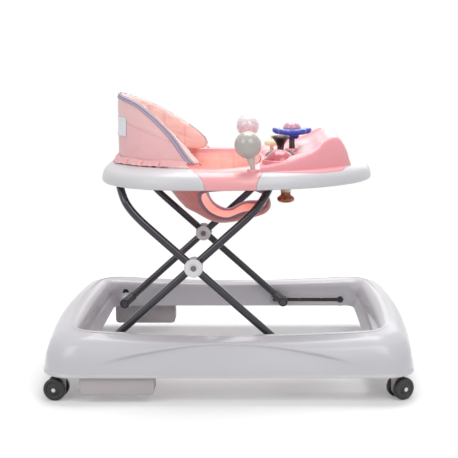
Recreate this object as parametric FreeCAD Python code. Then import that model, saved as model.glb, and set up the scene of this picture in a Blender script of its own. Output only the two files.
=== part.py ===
"""Folding baby walker: a wheeled base ring, two crossed leg frames and a seat tray with toys.

Millimetres. +Z up with the floor at Z = 0, +X towards the nose of the play tray, and the
walker is symmetrical about Y = 0. The centre of the base ring is the origin.
"""

import FreeCAD, Part
import math
import os

from FreeCAD import Vector

# ---------------------------------------------------------------- driving dimensions
# base ring
BASE_HALF_X = 363.0
BASE_HALF_Y = 292.0
BASE_CLEAR = 9.0
BASE_HEIGHT = 83.0
BASE_BOW = 20.0
BASE_CORNER = 62.0
BASE_WALL = 3.0
BASE_INNER_RISE = 14.0
SIDE_RAIL = 78.0
END_RAIL = 77.0
INNER_CORNER = 30.0
INNER_BOW = 6.0
SADDLE_DROP = 16.0
# height above the bottom edge, as a share of the ring's height, and inset of the outer wall
BASE_STEPS = ((0.0, 0.0), (0.35, 3.0), (0.68, 12.0), (0.88, 26.0), (1.0, 46.0))

# stopper blocks under the rear of the side rails
STOPPER_BEHIND = 39.0
STOPPER_LENGTH = 138.0
STOPPER_ASIDE = 31.0
STOPPER_WIDTH = 40.0
STOPPER_BOTTOM = 17.0
STOPPER_HEIGHT = 75.0
STOPPER_ROUND = 8.0
STOPPER_SCREW_INSET = 34.0

# casters
CASTER_INSET_X = 49.0
CASTER_INSET_Y = 40.0
WHEEL_R = 21.5
WHEEL_WIDTH = 10.5
CASTER_TRAIL = 10.0
HOUSING_R = 16.5
HOUSING_WIDTH = 13.0
WHEEL_GAP = 0.8
AXLE_R = 2.5
STEM_R = 4.0
STEM_RISE = 36.0
COLLAR_R = 11.0
COLLAR_CLEAR = 1.5
SLEEVE_R = 7.0
SLEEVE_RISE = 32.0
CASTER_TURNS = {"rear_right": 172.0, "rear_left": 188.0, "front_right": 28.0, "front_left": -12.0}

# crossed leg frames
TUBE_R = 7.5
TUBE_WALL = 1.2
PIVOT_X = -245.0
PIVOT_RISE = 28.0
CROSS_X = -66.75
CROSS_Z = 241.0
SHOE_THICK = 3.8
LEG_GAP = 2.5
TOP_BAR_Z = 404.0
REAR_BAR_X = -214.0
FRONT_BAR_X = 86.0
REAR_BAR_HALF = 158.0
FRONT_BAR_HALF = 132.0
KNEE_REACH = 184.0
REAR_KNEE_REACH = 172.0
BEND_R = 34.0
CAP_WALL = 2.0
LUG_WALL = 3.0
CAP_LENGTH = 36.0
LUG_PROUD = 0.4
TUBE_PAST_PIN = 5.0
PIN_R = 4.0
PIN_HEAD_R = 6.5
PIN_HEAD = 3.0
CROSS_BOLT_R = 3.0
DISC_R = 17.5
DISC_INNER_R = 16.0
DISC_THICK = 4.3
SLOT_REAR = 88.0
SLOT_FRONT = 243.0
SLOT_ENTRY_R = 8.0
KEYHOLE_R = 7.0
KEYHOLE_RISE = 18.0

# seat tray
TRAY_BOTTOM = 393.0
TRAY_SHOULDER = 415.0
TRAY_CROWN = 429.0
TRAY_MID_X = -30.0
TRAY_REAR = 226.0
TRAY_FRONT = 314.0
TRAY_HALF_Y = 247.0
TRAY_WALL = 3.0
SHOULDER_INSET = 6.0
CROWN_INSET = 50.0
REAR_POWER = 2.8
FRONT_POWER = 2.2
HOLE_MID_X = -45.0
HOLE_REAR = 140.0
HOLE_FRONT = 105.0
HOLE_HALF_Y = 195.0
HOLE_POWER = 2.5
SKIRT_BOTTOM = 395.0
REAR_SPLIT = ((-48.0, 390.0), (-54.0, 408.0), (-76.0, 432.0))
FRONT_SPLIT = ((54.0, 390.0), (58.0, 408.0), (68.0, 432.0))
SPLIT_GAP = 0.25

# play console on the tray's front
CONSOLE_REAR = 58.0
CONSOLE_HOLE_RIM = 7.0
CONSOLE_INSET = 20.0
CONSOLE_WALL = 2.5
CONSOLE_TAPER = ((402.0, 0.0), (440.0, 4.0), (495.0, 26.0))
CONSOLE_PROFILE = ((58.0, 432.8), (77.0, 435.5), (104.0, 441.0), (130.0, 447.0), (160.0, 457.0),
                   (183.0, 475.0), (200.0, 487.0), (214.0, 480.0), (227.0, 458.0), (241.0, 426.0))

# toys
FLOWER_X = 124.0
FLOWER_Z = 480.0
FLOWER_R = 40.0
FLOWER_PETALS = 6
FLOWER_POST_R = 6.0
HORN_X = 99.0
HORN_Y = -92.0
HORN_TRAVEL = 4.0
HORN_STALK_R = 6.5
HORN_PLATE_Z = 450.0
DOME_X = 96.0
DOME_INSET = 87.0
DOME_R = 27.0
DOME_TRAVEL = 2.0
DOME_TOP = 460.0
SPINNER_X = 84.0
SPINNER_Y = 92.0
SPINNER_R = 16.0
SPINNER_POST_R = 4.0
RATTLE_BALL_R = 25.0
RATTLE_WALL = 2.0
RATTLE_TILT = 12.0
RATTLE_SOCKET_X = 46.0
RATTLE_SOCKET_INSET = 32.0
RATTLE_SOCKET_DROP = 0.4
RATTLE_REACH = 50.0
RATTLE_JOINT_R = 5.0
RATTLE_SOCKET_R = 11.0

# height latch under the tray
LATCH_X = 112.0
TRACK_HALF_Y = 19.0
TRACK_WALL = 3.0
TRACK_FRONT = 234.0
TRACK_BOTTOM = 383.0
SLOT_LIFT = 1.0
BAR_DROP = 3.4
BAR_RISE = 0.4
BAR_BACK = 12.2
BAR_FORWARD = 135.0
LATCH_PIN_CLEAR = 2.1
LATCH_NECK_BOTTOM = 358.0
KNOB_BOTTOM = 336.0
KNOB_R = 18.0

# seat
BACK_MID_X = -66.0
BACK_REAR = 162.0
BACK_HALF_Y = 182.0
BACK_THICK = 22.0
BACK_POWER = 2.3
BACK_PROFILE = ((-240.0, 562.0), (-205.0, 560.0), (-176.0, 540.0), (-133.0, 505.0), (-93.0, 468.0),
                (-70.0, 440.0))
BACK_END_X = -70.0
SLING_WALL = 4.0
# height, middle X, reach to the rear, reach to the front, half width of the sling's bucket
SLING_DROP = 2.0
HEM_GAP = 0.5
SLING_STEPS = ((393.0, -45.0, 88.0, 103.5, 160.0), (350.0, -20.0, 80.0, 94.0, 110.0),
               (297.0, -17.0, 46.0, 46.0, 52.0))
LEG_HOLE_X = 8.0
LEG_HOLE_Z = 366.0
LEG_HOLE_R = 50.0
LEG_HOLE_SQUASH = 0.52
LEG_HOLE_INNER_Y = 40.0

# clearances
RUN = 0.06
SOFT = 0.3
SEAT = 0.3
OUTLINE_POINTS = 32

# ---------------------------------------------------------------- worked-out sizes
INNER_HALF_X = BASE_HALF_X - END_RAIL
INNER_HALF_Y = BASE_HALF_Y - SIDE_RAIL
BASE_BOTTOM = 2 * WHEEL_R + BASE_CLEAR
BASE_TOP = BASE_BOTTOM + BASE_HEIGHT
BASE_INNER_BOTTOM = BASE_BOTTOM + BASE_INNER_RISE
CASTER_X = BASE_HALF_X - CASTER_INSET_X
CASTER_Y = BASE_HALF_Y - CASTER_INSET_Y
STEM_TOP = BASE_BOTTOM + STEM_RISE
SLEEVE_TOP = BASE_BOTTOM + SLEEVE_RISE
COLLAR_BOTTOM = 2 * WHEEL_R + COLLAR_CLEAR
STOPPER_REAR = STOPPER_BEHIND - CASTER_X
STOPPER_TOP = STOPPER_BOTTOM + STOPPER_HEIGHT
PIVOT_Z = BASE_BOTTOM + PIVOT_RISE
CAP_R = TUBE_R + CAP_WALL
CAP_LUG_R = TUBE_R + LUG_WALL
LUG_HALF = CAP_R + LUG_PROUD
LEG_OUTER_Y = INNER_HALF_Y - SEAT - SHOE_THICK - LUG_HALF
LEG_INNER_Y = LEG_OUTER_Y - 2 * TUBE_R - LEG_GAP
RATTLE_SOCKET_Y = TRAY_HALF_Y - RATTLE_SOCKET_INSET
RATTLE_SOCKET_Z = TRAY_CROWN - RATTLE_SOCKET_DROP
DOME_Y = DOME_INSET - TRAY_HALF_Y
SPRING_R = PIN_R + 3
LATCH_NECK_R = SPRING_R + 3.5
LATCH_PIN_TOP = TOP_BAR_Z - TUBE_R - BAR_DROP - LATCH_PIN_CLEAR
SLING_TOP = TRAY_CROWN - SLING_DROP
LEG_ANGLE = math.atan2(CROSS_Z - PIVOT_Z, CROSS_X - PIVOT_X)
LEG_LOWER = math.hypot(CROSS_X - PIVOT_X, CROSS_Z - PIVOT_Z)
SLIDER_X = 2 * CROSS_X - PIVOT_X
AXLE_HALF = HOUSING_WIDTH / 2 + WHEEL_GAP + WHEEL_WIDTH + WHEEL_GAP
ROW_BIG = 900.0


# ---------------------------------------------------------------- helpers
def box(x0, x1, y0, y1, z0, z1):
    return Part.makeBox(x1 - x0, y1 - y0, z1 - z0, Vector(x0, y0, z0))


def rod(radius, start, end):
    start = Vector(*start)
    run = Vector(*end) - start
    return Part.makeCylinder(radius, run.Length, start, run)


def ring(outer, inner, start, end):
    return rod(outer, start, end).cut(rod(inner, start, end))


def fuse(shapes):
    joined = shapes[0].multiFuse(shapes[1:]) if len(shapes) > 1 else shapes[0]
    return joined.removeSplitter()


def both_sides(shape):
    """The shape and its mirror image across Y = 0."""
    return [shape, shape.mirror(Vector(0, 0, 0), Vector(0, 1, 0))]


def save(name, shapes):
    shapes = shapes if isinstance(shapes, list) else [shapes]
    solids = [solid for shape in shapes for solid in shape.Solids]
    Part.makeCompound(solids).exportStep("parts/" + name + ".step")


def turned(profile, x=0.0, y=0.0):
    """A solid of revolution about a vertical axis from (radius, height) points."""
    points = [Vector(r, 0, z) for r, z in profile]
    face = Part.Face(Part.makePolygon(points + points[:1]))
    solid = face.revolve(Vector(0, 0, 0), Vector(0, 0, 1), 360)
    solid.translate(Vector(x, y, 0))
    return solid


def bowed_outline(half_x, half_y, bow, corner, z):
    """A rounded rectangle whose two ends bow outwards."""
    end_r = (half_y ** 2 + bow ** 2) / (2 * bow)
    end_x = half_x - end_r
    side_y = half_y - corner
    side_x = end_x + math.sqrt((end_r - corner) ** 2 - side_y ** 2)
    away = Vector(side_x - end_x, side_y, 0).normalize()
    meet = Vector(end_x, 0, 0) + away * end_r
    middle = Vector(side_x, side_y, 0) + (away + Vector(0, 1, 0)).normalize() * corner

    def at(point, sx, sy):
        return Vector(sx * point.x, sy * point.y, z)

    tip = Vector(half_x, 0, 0)
    side = Vector(side_x, half_y, 0)
    edges = [
        Part.Arc(at(meet, 1, -1), at(tip, 1, 1), at(meet, 1, 1)).toShape(),
        Part.Arc(at(meet, 1, 1), at(middle, 1, 1), at(side, 1, 1)).toShape(),
        Part.LineSegment(at(side, 1, 1), at(side, -1, 1)).toShape(),
        Part.Arc(at(side, -1, 1), at(middle, -1, 1), at(meet, -1, 1)).toShape(),
        Part.Arc(at(meet, -1, 1), at(tip, -1, 1), at(meet, -1, -1)).toShape(),
        Part.Arc(at(meet, -1, -1), at(middle, -1, -1), at(side, -1, -1)).toShape(),
        Part.LineSegment(at(side, -1, -1), at(side, 1, -1)).toShape(),
        Part.Arc(at(side, 1, -1), at(middle, 1, -1), at(meet, 1, -1)).toShape(),
    ]
    return Part.Wire(edges)


def egg_outline(mid_x, rear, front, half_y, rear_power, front_power, z):
    """A closed superellipse whose rear and front halves differ in length and squareness."""
    points = []
    for i in range(OUTLINE_POINTS):
        turn = 2 * math.pi * i / OUTLINE_POINTS
        cos, sin = math.cos(turn), math.sin(turn)
        reach, power = (front, front_power) if cos >= 0 else (rear, rear_power)
        x = mid_x + reach * math.copysign(abs(cos) ** (2 / power), cos)
        y = half_y * math.copysign(abs(sin) ** (2 / power), sin)
        points.append(Vector(x, y, z))
    curve = Part.BSplineCurve()
    curve.interpolate(Points=points, PeriodicFlag=True)
    return Part.Wire(curve.toShape())


def tray_outline(inset, z):
    return egg_outline(TRAY_MID_X, TRAY_REAR - inset, TRAY_FRONT - inset, TRAY_HALF_Y - inset,
                       REAR_POWER, FRONT_POWER, z)


def hole_outline(grow, z):
    return egg_outline(HOLE_MID_X, HOLE_REAR + grow, HOLE_FRONT + grow, HOLE_HALF_Y + grow,
                       HOLE_POWER, HOLE_POWER, z)


def prism(wire, height):
    return Part.Face(wire).extrude(Vector(0, 0, height))


def side_prism(points, half_y):
    """A polygon in the XZ plane, extruded across the walker."""
    wire = Part.makePolygon([Vector(x, -half_y, z) for x, z in points + points[:1]])
    return Part.Face(wire).extrude(Vector(0, 2 * half_y, 0))


def bent_path(points, radius):
    """Straight runs through the points, joined by tangent arcs."""
    edges = []
    last = points[0]
    for before, corner, after in zip(points, points[1:], points[2:]):
        back = (before - corner).normalize()
        ahead = (after - corner).normalize()
        half = back.getAngle(ahead) / 2
        cut = radius / math.tan(half)
        centre = corner + (back + ahead).normalize() * (radius / math.sin(half))
        start = corner + back * cut
        end = corner + ahead * cut
        middle = centre + (corner - centre).normalize() * radius
        edges.append(Part.LineSegment(last, start).toShape())
        edges.append(Part.Arc(start, middle, end).toShape())
        last = end
    edges.append(Part.LineSegment(last, points[-1]).toShape())
    return Part.Wire(edges)


def swept(path, radius):
    start = path.Edges[0]
    circle = Part.Circle(start.Vertexes[0].Point, start.tangentAt(start.FirstParameter), radius)
    return path.makePipeShell([Part.Wire(circle.toShape())], True, True)


# ---------------------------------------------------------------- base
def base_loft(inset, drop):
    """The outer form of the base ring, shrunk by inset and lowered by drop at the top."""
    wires = []
    for share, step in BASE_STEPS:
        z = BASE_BOTTOM + share * (BASE_TOP - BASE_BOTTOM - drop)
        wires.append(bowed_outline(BASE_HALF_X - inset - step, BASE_HALF_Y - inset - step,
                                   BASE_BOW, BASE_CORNER - inset, z))
    solid = Part.makeLoft(wires, True, True)
    saddle_r = (BASE_HALF_X ** 2 + SADDLE_DROP ** 2) / (2 * SADDLE_DROP)
    low = BASE_TOP - SADDLE_DROP - drop
    saddle = rod(saddle_r, (0, -ROW_BIG, low + saddle_r), (0, ROW_BIG, low + saddle_r))
    return solid.cut(saddle)


def base_opening(grow, bottom):
    wire = bowed_outline(INNER_HALF_X + grow, INNER_HALF_Y + grow, INNER_BOW,
                         INNER_CORNER + grow, bottom)
    return prism(wire, BASE_TOP + BASE_HALF_Y)


def base_frame():
    outer = base_loft(0, 0)
    hollow = base_loft(BASE_WALL, BASE_WALL).cut(base_opening(BASE_WALL, 0))
    shell = outer.cut(base_opening(0, 0)).cut(hollow)
    step = base_opening(BASE_WALL + 1, 0).common(box(-ROW_BIG, ROW_BIG, -ROW_BIG, ROW_BIG, 0,
                                                     BASE_INNER_BOTTOM))
    shell = shell.cut(step)
    bosses = []
    for sx in (-1, 1):
        for sy in (-1, 1):
            x, y = sx * CASTER_X, sy * CASTER_Y
            bosses.append(rod(SLEEVE_R + 5, (x, y, BASE_BOTTOM), (x, y, BASE_TOP + 5)).common(outer))
    for x, y in stopper_screw_places():
        bosses.append(rod(7, (x, y, STOPPER_TOP), (x, y, BASE_TOP + 5)).common(outer))
    wall_y = INNER_HALF_Y
    face_y = LEG_INNER_Y + LUG_HALF + SEAT
    for sy in (-1, 1):
        bosses.append(rod(12, (PIVOT_X, sy * face_y, PIVOT_Z), (PIVOT_X, sy * (wall_y + 1), PIVOT_Z)))
    shell = fuse([shell] + bosses)
    cuts = []
    for sy in (-1, 1):
        near, far = sy * (face_y - 5), sy * (wall_y + BASE_WALL + 8)
        cuts.append(rod(PIN_R + RUN, (PIVOT_X, near, PIVOT_Z), (PIVOT_X, far, PIVOT_Z)))
        cuts.append(rod(KEYHOLE_R, (PIVOT_X - 2, sy * (wall_y - 1), PIVOT_Z + KEYHOLE_RISE),
                        (PIVOT_X - 2, far, PIVOT_Z + KEYHOLE_RISE)))
        half = PIN_R + 0.35
        low, high = sorted((sy * (wall_y - 1), far))
        cuts.append(box(SLOT_REAR + half, SLOT_FRONT, low, high, PIVOT_Z - half, PIVOT_Z + half))
        cuts.append(rod(half, (SLOT_REAR + half, low, PIVOT_Z), (SLOT_REAR + half, high, PIVOT_Z)))
        cuts.append(rod(SLOT_ENTRY_R, (SLOT_FRONT, low, PIVOT_Z), (SLOT_FRONT, high, PIVOT_Z)))
        for sx in (-1, 1):
            x, y = sx * CASTER_X, sy * CASTER_Y
            cuts.append(rod(SLEEVE_R, (x, y, BASE_BOTTOM - 1), (x, y, SLEEVE_TOP)))
            cuts.append(rod(STEM_R + 2, (x, y, SLEEVE_TOP - 1), (x, y, STEM_TOP + 4)))
    for x, y in stopper_screw_places():
        cuts.append(rod(2.1, (x, y, STOPPER_TOP - 1), (x, y, STOPPER_TOP + 18)))
    return shell.cut(Part.makeCompound(cuts))


def stopper_screw_places():
    front = STOPPER_REAR + STOPPER_LENGTH
    y = INNER_HALF_Y + STOPPER_ASIDE + STOPPER_WIDTH / 2 - 5
    xs = (STOPPER_REAR + STOPPER_SCREW_INSET, front - STOPPER_SCREW_INSET)
    return [(x, sy * y) for x in xs for sy in (-1, 1)]


def stopper_pads():
    """The two blocks under the rear of the side rails, screwed up into the shell."""
    front = STOPPER_REAR + STOPPER_LENGTH
    inner_y = INNER_HALF_Y + STOPPER_ASIDE
    outer_y = inner_y + STOPPER_WIDTH
    shoulder = BASE_INNER_BOTTOM - SEAT
    low = box(STOPPER_REAR, front, inner_y, outer_y, STOPPER_BOTTOM, shoulder)
    edges = [e for e in low.Edges
             if abs(e.CenterOfMass.z - STOPPER_BOTTOM) < 0.1 and abs(e.CenterOfMass.x) > 0
             and e.Length < STOPPER_LENGTH - 1]
    low = low.makeFillet(STOPPER_ROUND, edges)
    high = box(STOPPER_REAR, front, inner_y, outer_y - 10, shoulder, STOPPER_TOP)
    pad = fuse([low, high])
    for x, y in stopper_screw_places():
        if y > 0:
            pad = pad.cut(rod(5, (x, y, STOPPER_BOTTOM - 1), (x, y, STOPPER_TOP - 14)))
            pad = pad.cut(rod(2.1, (x, y, STOPPER_BOTTOM), (x, y, STOPPER_TOP + 1)))
    return both_sides(pad)


def stopper_screws():
    seat = STOPPER_TOP - 14
    screws = []
    for x, y in stopper_screw_places():
        screws.append(fuse([rod(4, (x, y, seat - 3), (x, y, seat)),
                            rod(2, (x, y, seat), (x, y, STOPPER_TOP + 16))]))
    return screws


def caster_sleeves():
    sleeves = []
    for sx in (-1, 1):
        for sy in (-1, 1):
            x, y = sx * CASTER_X, sy * CASTER_Y
            body = rod(SLEEVE_R, (x, y, BASE_BOTTOM - 2), (x, y, SLEEVE_TOP))
            flange = rod(SLEEVE_R + 4, (x, y, BASE_BOTTOM - 2), (x, y, BASE_BOTTOM))
            bore = rod(STEM_R + RUN, (x, y, 0), (x, y, STEM_TOP + 20))
            sleeves.append(fuse([body, flange]).cut(bore))
    return sleeves


# ---------------------------------------------------------------- casters
def placed(shape, corner):
    """Turn a caster piece about its stem and put it at its corner of the base."""
    end, side = corner.split("_")
    turn = CASTER_TURNS[corner]
    shape.rotate(Vector(0, 0, 0), Vector(0, 0, 1), turn)
    x = CASTER_X if end == "front" else -CASTER_X
    y = CASTER_Y if side == "left" else -CASTER_Y
    shape.translate(Vector(x, y, 0))
    return shape


def caster_housing():
    half = HOUSING_WIDTH / 2
    disc = rod(HOUSING_R, (CASTER_TRAIL, -half, WHEEL_R), (CASTER_TRAIL, half, WHEEL_R))
    neck = box(-7, CASTER_TRAIL, -half, half, WHEEL_R, COLLAR_BOTTOM + 1)
    collar = turned(((0, COLLAR_BOTTOM), (COLLAR_R, COLLAR_BOTTOM), (COLLAR_R, COLLAR_BOTTOM + 3),
                     (COLLAR_R - 2, BASE_BOTTOM - 2 - SEAT), (0, BASE_BOTTOM - 2 - SEAT)))
    body = fuse([disc, neck, collar])
    body = body.cut(rod(AXLE_R + 0.02, (CASTER_TRAIL, -20, WHEEL_R), (CASTER_TRAIL, 20, WHEEL_R)))
    return body.cut(rod(STEM_R + 0.02, (0, 0, WHEEL_R + 9), (0, 0, BASE_BOTTOM)))


def caster_pins():
    stem = fuse([rod(STEM_R, (0, 0, WHEEL_R + 9), (0, 0, STEM_TOP)),
                 rod(STEM_R + 1, (0, 0, STEM_TOP - 2), (0, 0, STEM_TOP))])
    axle = rod(AXLE_R, (CASTER_TRAIL, -AXLE_HALF, WHEEL_R), (CASTER_TRAIL, AXLE_HALF, WHEEL_R))
    heads = [rod(AXLE_R + 1.5, (CASTER_TRAIL, s * AXLE_HALF, WHEEL_R),
                 (CASTER_TRAIL, s * (AXLE_HALF + 1.2), WHEEL_R)) for s in (-1, 1)]
    return [stem, fuse([axle] + heads)]


def outer_way(corner):
    """The side of a turned caster, along its axle, that faces away from the walker's middle."""
    way = math.cos(math.radians(CASTER_TURNS[corner]))
    return math.copysign(1, way if corner.endswith("left") else -way)


def caster_wheel(way):
    y0 = HOUSING_WIDTH / 2 + WHEEL_GAP
    y1 = y0 + WHEEL_WIDTH
    profile = ((AXLE_R + RUN, y0), (WHEEL_R - 1.5, y0), (WHEEL_R, y0 + 1.5), (WHEEL_R, y1 - 3),
               (WHEEL_R - 3, y1), (WHEEL_R - 7, y1), (WHEEL_R - 8, y1 - 1.5),
               (AXLE_R + 6, y1 - 1.5), (AXLE_R + 5, y1), (AXLE_R + RUN, y1))
    wheel = turned(profile)
    wheel.rotate(Vector(0, 0, 0), Vector(1, 0, 0), -90)
    if way < 0:
        wheel = wheel.mirror(Vector(0, 0, 0), Vector(0, 1, 0))
    wheel.translate(Vector(CASTER_TRAIL, 0, WHEEL_R))
    return wheel


# ---------------------------------------------------------------- crossed leg frames
def along_leg(reach, forward):
    """A point on the straight of a leg: reach from the crossing, rising forward or rearward."""
    way = 1 if forward else -1
    return (CROSS_X + way * reach * math.cos(LEG_ANGLE), CROSS_Z + reach * math.sin(LEG_ANGLE))


def leg_path(forward, leg_y, knee_reach, bar_x, bar_half):
    low = along_leg(-LEG_LOWER - TUBE_PAST_PIN, forward)
    knee = along_leg(knee_reach, forward)
    side = [(low, leg_y), (knee, leg_y), ((bar_x, TOP_BAR_Z), bar_half)]
    right = [Vector(p[0], -y, p[1]) for p, y in side]
    left = [Vector(p[0], y, p[1]) for p, y in reversed(side)]
    return bent_path(right + left, BEND_R)


def leg_tube(forward, leg_y, knee_reach, bar_x, bar_half):
    path = leg_path(forward, leg_y, knee_reach, bar_x, bar_half)
    tube = swept(path, TUBE_R).cut(swept(path, TUBE_R - TUBE_WALL))
    low = along_leg(-LEG_LOWER, forward)
    for s in (-1, 1):
        y0, y1 = s * (leg_y - 2 * TUBE_R), s * (leg_y + 2 * TUBE_R)
        tube = tube.cut(rod(PIN_R + RUN, (low[0], y0, low[1]), (low[0], y1, low[1])))
        tube = tube.cut(rod(CROSS_BOLT_R + RUN, (CROSS_X, y0, CROSS_Z), (CROSS_X, y1, CROSS_Z)))
    return tube


def end_caps(forward, leg_y):
    pin = along_leg(-LEG_LOWER, forward)
    tip = along_leg(-LEG_LOWER - TUBE_PAST_PIN, forward)
    top = along_leg(-LEG_LOWER + CAP_LENGTH - CAP_R, forward)
    sleeve = rod(CAP_R, (tip[0], leg_y, tip[1]), (top[0], leg_y, top[1]))
    lug = rod(CAP_LUG_R, (pin[0], leg_y - LUG_HALF, pin[1]), (pin[0], leg_y + LUG_HALF, pin[1]))
    cap = fuse([sleeve, lug])
    cap = cap.cut(rod(TUBE_R + RUN, (tip[0], leg_y, tip[1]), (top[0], leg_y, top[1])))
    hole = rod(PIN_R + RUN, (pin[0], leg_y - 20, pin[1]), (pin[0], leg_y + 20, pin[1]))
    return both_sides(cap.cut(hole))


def pivot_pins():
    """The rear pins: head on the inside of the cap, snap ring behind the base's wall."""
    y0 = LEG_INNER_Y - LUG_HALF
    y1 = INNER_HALF_Y + BASE_WALL + SEAT
    pin = fuse([rod(PIN_R, (PIVOT_X, y0, PIVOT_Z), (PIVOT_X, y1 + 2, PIVOT_Z)),
                rod(PIN_HEAD_R, (PIVOT_X, y0 - PIN_HEAD, PIVOT_Z), (PIVOT_X, y0, PIVOT_Z)),
                rod(PIN_HEAD_R, (PIVOT_X, y1, PIVOT_Z), (PIVOT_X, y1 + 2, PIVOT_Z))])
    return both_sides(pin)


def slide_pins():
    """The front pins: a shoe runs on the inside of the slotted wall and a washer behind it."""
    y0 = LEG_OUTER_Y - LUG_HALF
    y1 = INNER_HALF_Y - SEAT
    y2 = INNER_HALF_Y + BASE_WALL + SEAT
    pin = fuse([rod(PIN_R, (SLIDER_X, y0, PIVOT_Z), (SLIDER_X, y2 + 2, PIVOT_Z)),
                rod(PIN_HEAD_R, (SLIDER_X, y0 - PIN_HEAD, PIVOT_Z), (SLIDER_X, y0, PIVOT_Z)),
                rod(PIN_HEAD_R, (SLIDER_X, LEG_OUTER_Y + LUG_HALF, PIVOT_Z), (SLIDER_X, y1, PIVOT_Z)),
                rod(PIN_HEAD_R, (SLIDER_X, y2, PIVOT_Z), (SLIDER_X, y2 + 2, PIVOT_Z))])
    return both_sides(pin)


def cross_disc(radius, y0, y1, recess):
    disc = rod(radius, (CROSS_X, y0, CROSS_Z), (CROSS_X, y1, CROSS_Z))
    rim = [e for e in disc.Edges if abs(e.CenterOfMass.y - recess) < 0.1]
    disc = disc.makeFillet(1.6, rim)
    return disc.cut(rod(CROSS_BOLT_R + 2.5, (CROSS_X, y0, CROSS_Z), (CROSS_X, y1, CROSS_Z)))


def cross_discs_outer():
    y0 = LEG_OUTER_Y + TUBE_R + SEAT
    return both_sides(cross_disc(DISC_R, y0, y0 + DISC_THICK, y0 + DISC_THICK))


def cross_discs_inner():
    y1 = LEG_INNER_Y - TUBE_R
    return both_sides(cross_disc(DISC_INNER_R, y1 - DISC_THICK, y1, y1 - DISC_THICK))


def cross_bolts():
    y0 = LEG_INNER_Y - TUBE_R - DISC_THICK
    y1 = LEG_OUTER_Y + TUBE_R + SEAT + DISC_THICK
    head = CROSS_BOLT_R + 2.5
    bolt = fuse([rod(CROSS_BOLT_R, (CROSS_X, y0, CROSS_Z), (CROSS_X, y1, CROSS_Z)),
                 rod(head, (CROSS_X, y1 - 3, CROSS_Z), (CROSS_X, y1 - 0.8, CROSS_Z)),
                 rod(head, (CROSS_X, y0, CROSS_Z), (CROSS_X, y0 + 3, CROSS_Z))])
    return both_sides(bolt)


def cross_spacers():
    y0 = LEG_INNER_Y + TUBE_R
    spacer = ring(9, CROSS_BOLT_R + RUN, (CROSS_X, y0, CROSS_Z), (CROSS_X, y0 + LEG_GAP - SEAT, CROSS_Z))
    return both_sides(spacer)


# ---------------------------------------------------------------- seat tray
def tray_form():
    wires = [tray_outline(0, TRAY_BOTTOM), tray_outline(SHOULDER_INSET, TRAY_SHOULDER),
             tray_outline(CROWN_INSET, TRAY_CROWN)]
    return Part.makeLoft(wires, True, True)


def tray_cavity():
    wall = TRAY_WALL
    wires = [tray_outline(wall - 0.01, TRAY_BOTTOM - 0.01),
             tray_outline(SHOULDER_INSET + wall, TRAY_SHOULDER - wall + 0.5),
             tray_outline(CROWN_INSET + 1, TRAY_CROWN - wall)]
    return Part.makeLoft(wires, True, True)


def tray_shell(form, cavity):
    skirt = prism(hole_outline(TRAY_WALL, SKIRT_BOTTOM), TRAY_CROWN - SKIRT_BOTTOM - TRAY_WALL / 2)
    hole = prism(hole_outline(0, TRAY_BOTTOM - 10), TRAY_CROWN - TRAY_BOTTOM + 20)
    return fuse([form.cut(cavity), skirt.common(form)]).cut(hole)


def split_region(split, gap, forward):
    """The side of a curved parting line, as a prism across the walker."""
    way = 1 if forward else -1
    points = [Vector(x + way * gap, -ROW_BIG, z) for x, z in split]
    far = way * ROW_BIG
    arc = Part.Arc(*points).toShape()
    rest = Part.makePolygon([points[2], Vector(points[2].x, -ROW_BIG, ROW_BIG),
                             Vector(far, -ROW_BIG, ROW_BIG), Vector(far, -ROW_BIG, 0),
                             Vector(points[0].x, -ROW_BIG, 0), points[0]])
    wire = Part.Wire([arc] + rest.Edges)
    return Part.Face(wire).extrude(Vector(0, 2 * ROW_BIG, 0))


def tray_pieces(shell):
    """The pink middle of the tray and the white rear and front bands."""
    rear = shell.common(split_region(REAR_SPLIT, SPLIT_GAP / 2, False))
    front = shell.common(split_region(FRONT_SPLIT, SPLIT_GAP / 2, True))
    middle = shell.common(split_region(REAR_SPLIT, SPLIT_GAP / 2, True))
    middle = middle.common(split_region(FRONT_SPLIT, SPLIT_GAP / 2, False))
    return middle, rear, front


def console_form(inset, drop):
    wires = [tray_outline(CONSOLE_INSET + step + inset, z) for z, step in CONSOLE_TAPER]
    body = Part.makeLoft(wires, True, True)
    profile = [(x, z - drop) for x, z in CONSOLE_PROFILE]
    rear = CONSOLE_REAR + inset
    low = TRAY_BOTTOM - ROW_BIG / 10
    nose = profile[-1][0] - inset
    outline = [(rear, low), (rear, profile[0][1])] + profile[1:-1]
    outline += [(nose, profile[-1][1]), (nose, low)]
    rim = CONSOLE_HOLE_RIM + inset
    return body.common(side_prism(outline, ROW_BIG)).cut(prism(hole_outline(rim, low), ROW_BIG))


def console(form):
    shell = console_form(0, 0).cut(console_form(CONSOLE_WALL, CONSOLE_WALL))
    shell = shell.cut(form)
    for x, y, radius in ((FLOWER_X, 0, FLOWER_POST_R), (SPINNER_X, SPINNER_Y, SPINNER_POST_R),
                         (HORN_X, HORN_Y, HORN_STALK_R), (DOME_X, DOME_Y, DOME_R)):
        shell = shell.cut(rod(radius + SOFT, (x, y, 0), (x, y, ROW_BIG)))
    return max(shell.Solids, key=lambda solid: solid.Volume)


def flower_post():
    """The fixed post that the flower turns on, standing on the tray's deck."""
    return turned(((0, TRAY_CROWN), (FLOWER_POST_R, TRAY_CROWN), (FLOWER_POST_R, FLOWER_Z - 14),
                   (AXLE_R, FLOWER_Z - 14), (AXLE_R, FLOWER_Z + 10), (0, FLOWER_Z + 10)), FLOWER_X)


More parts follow.
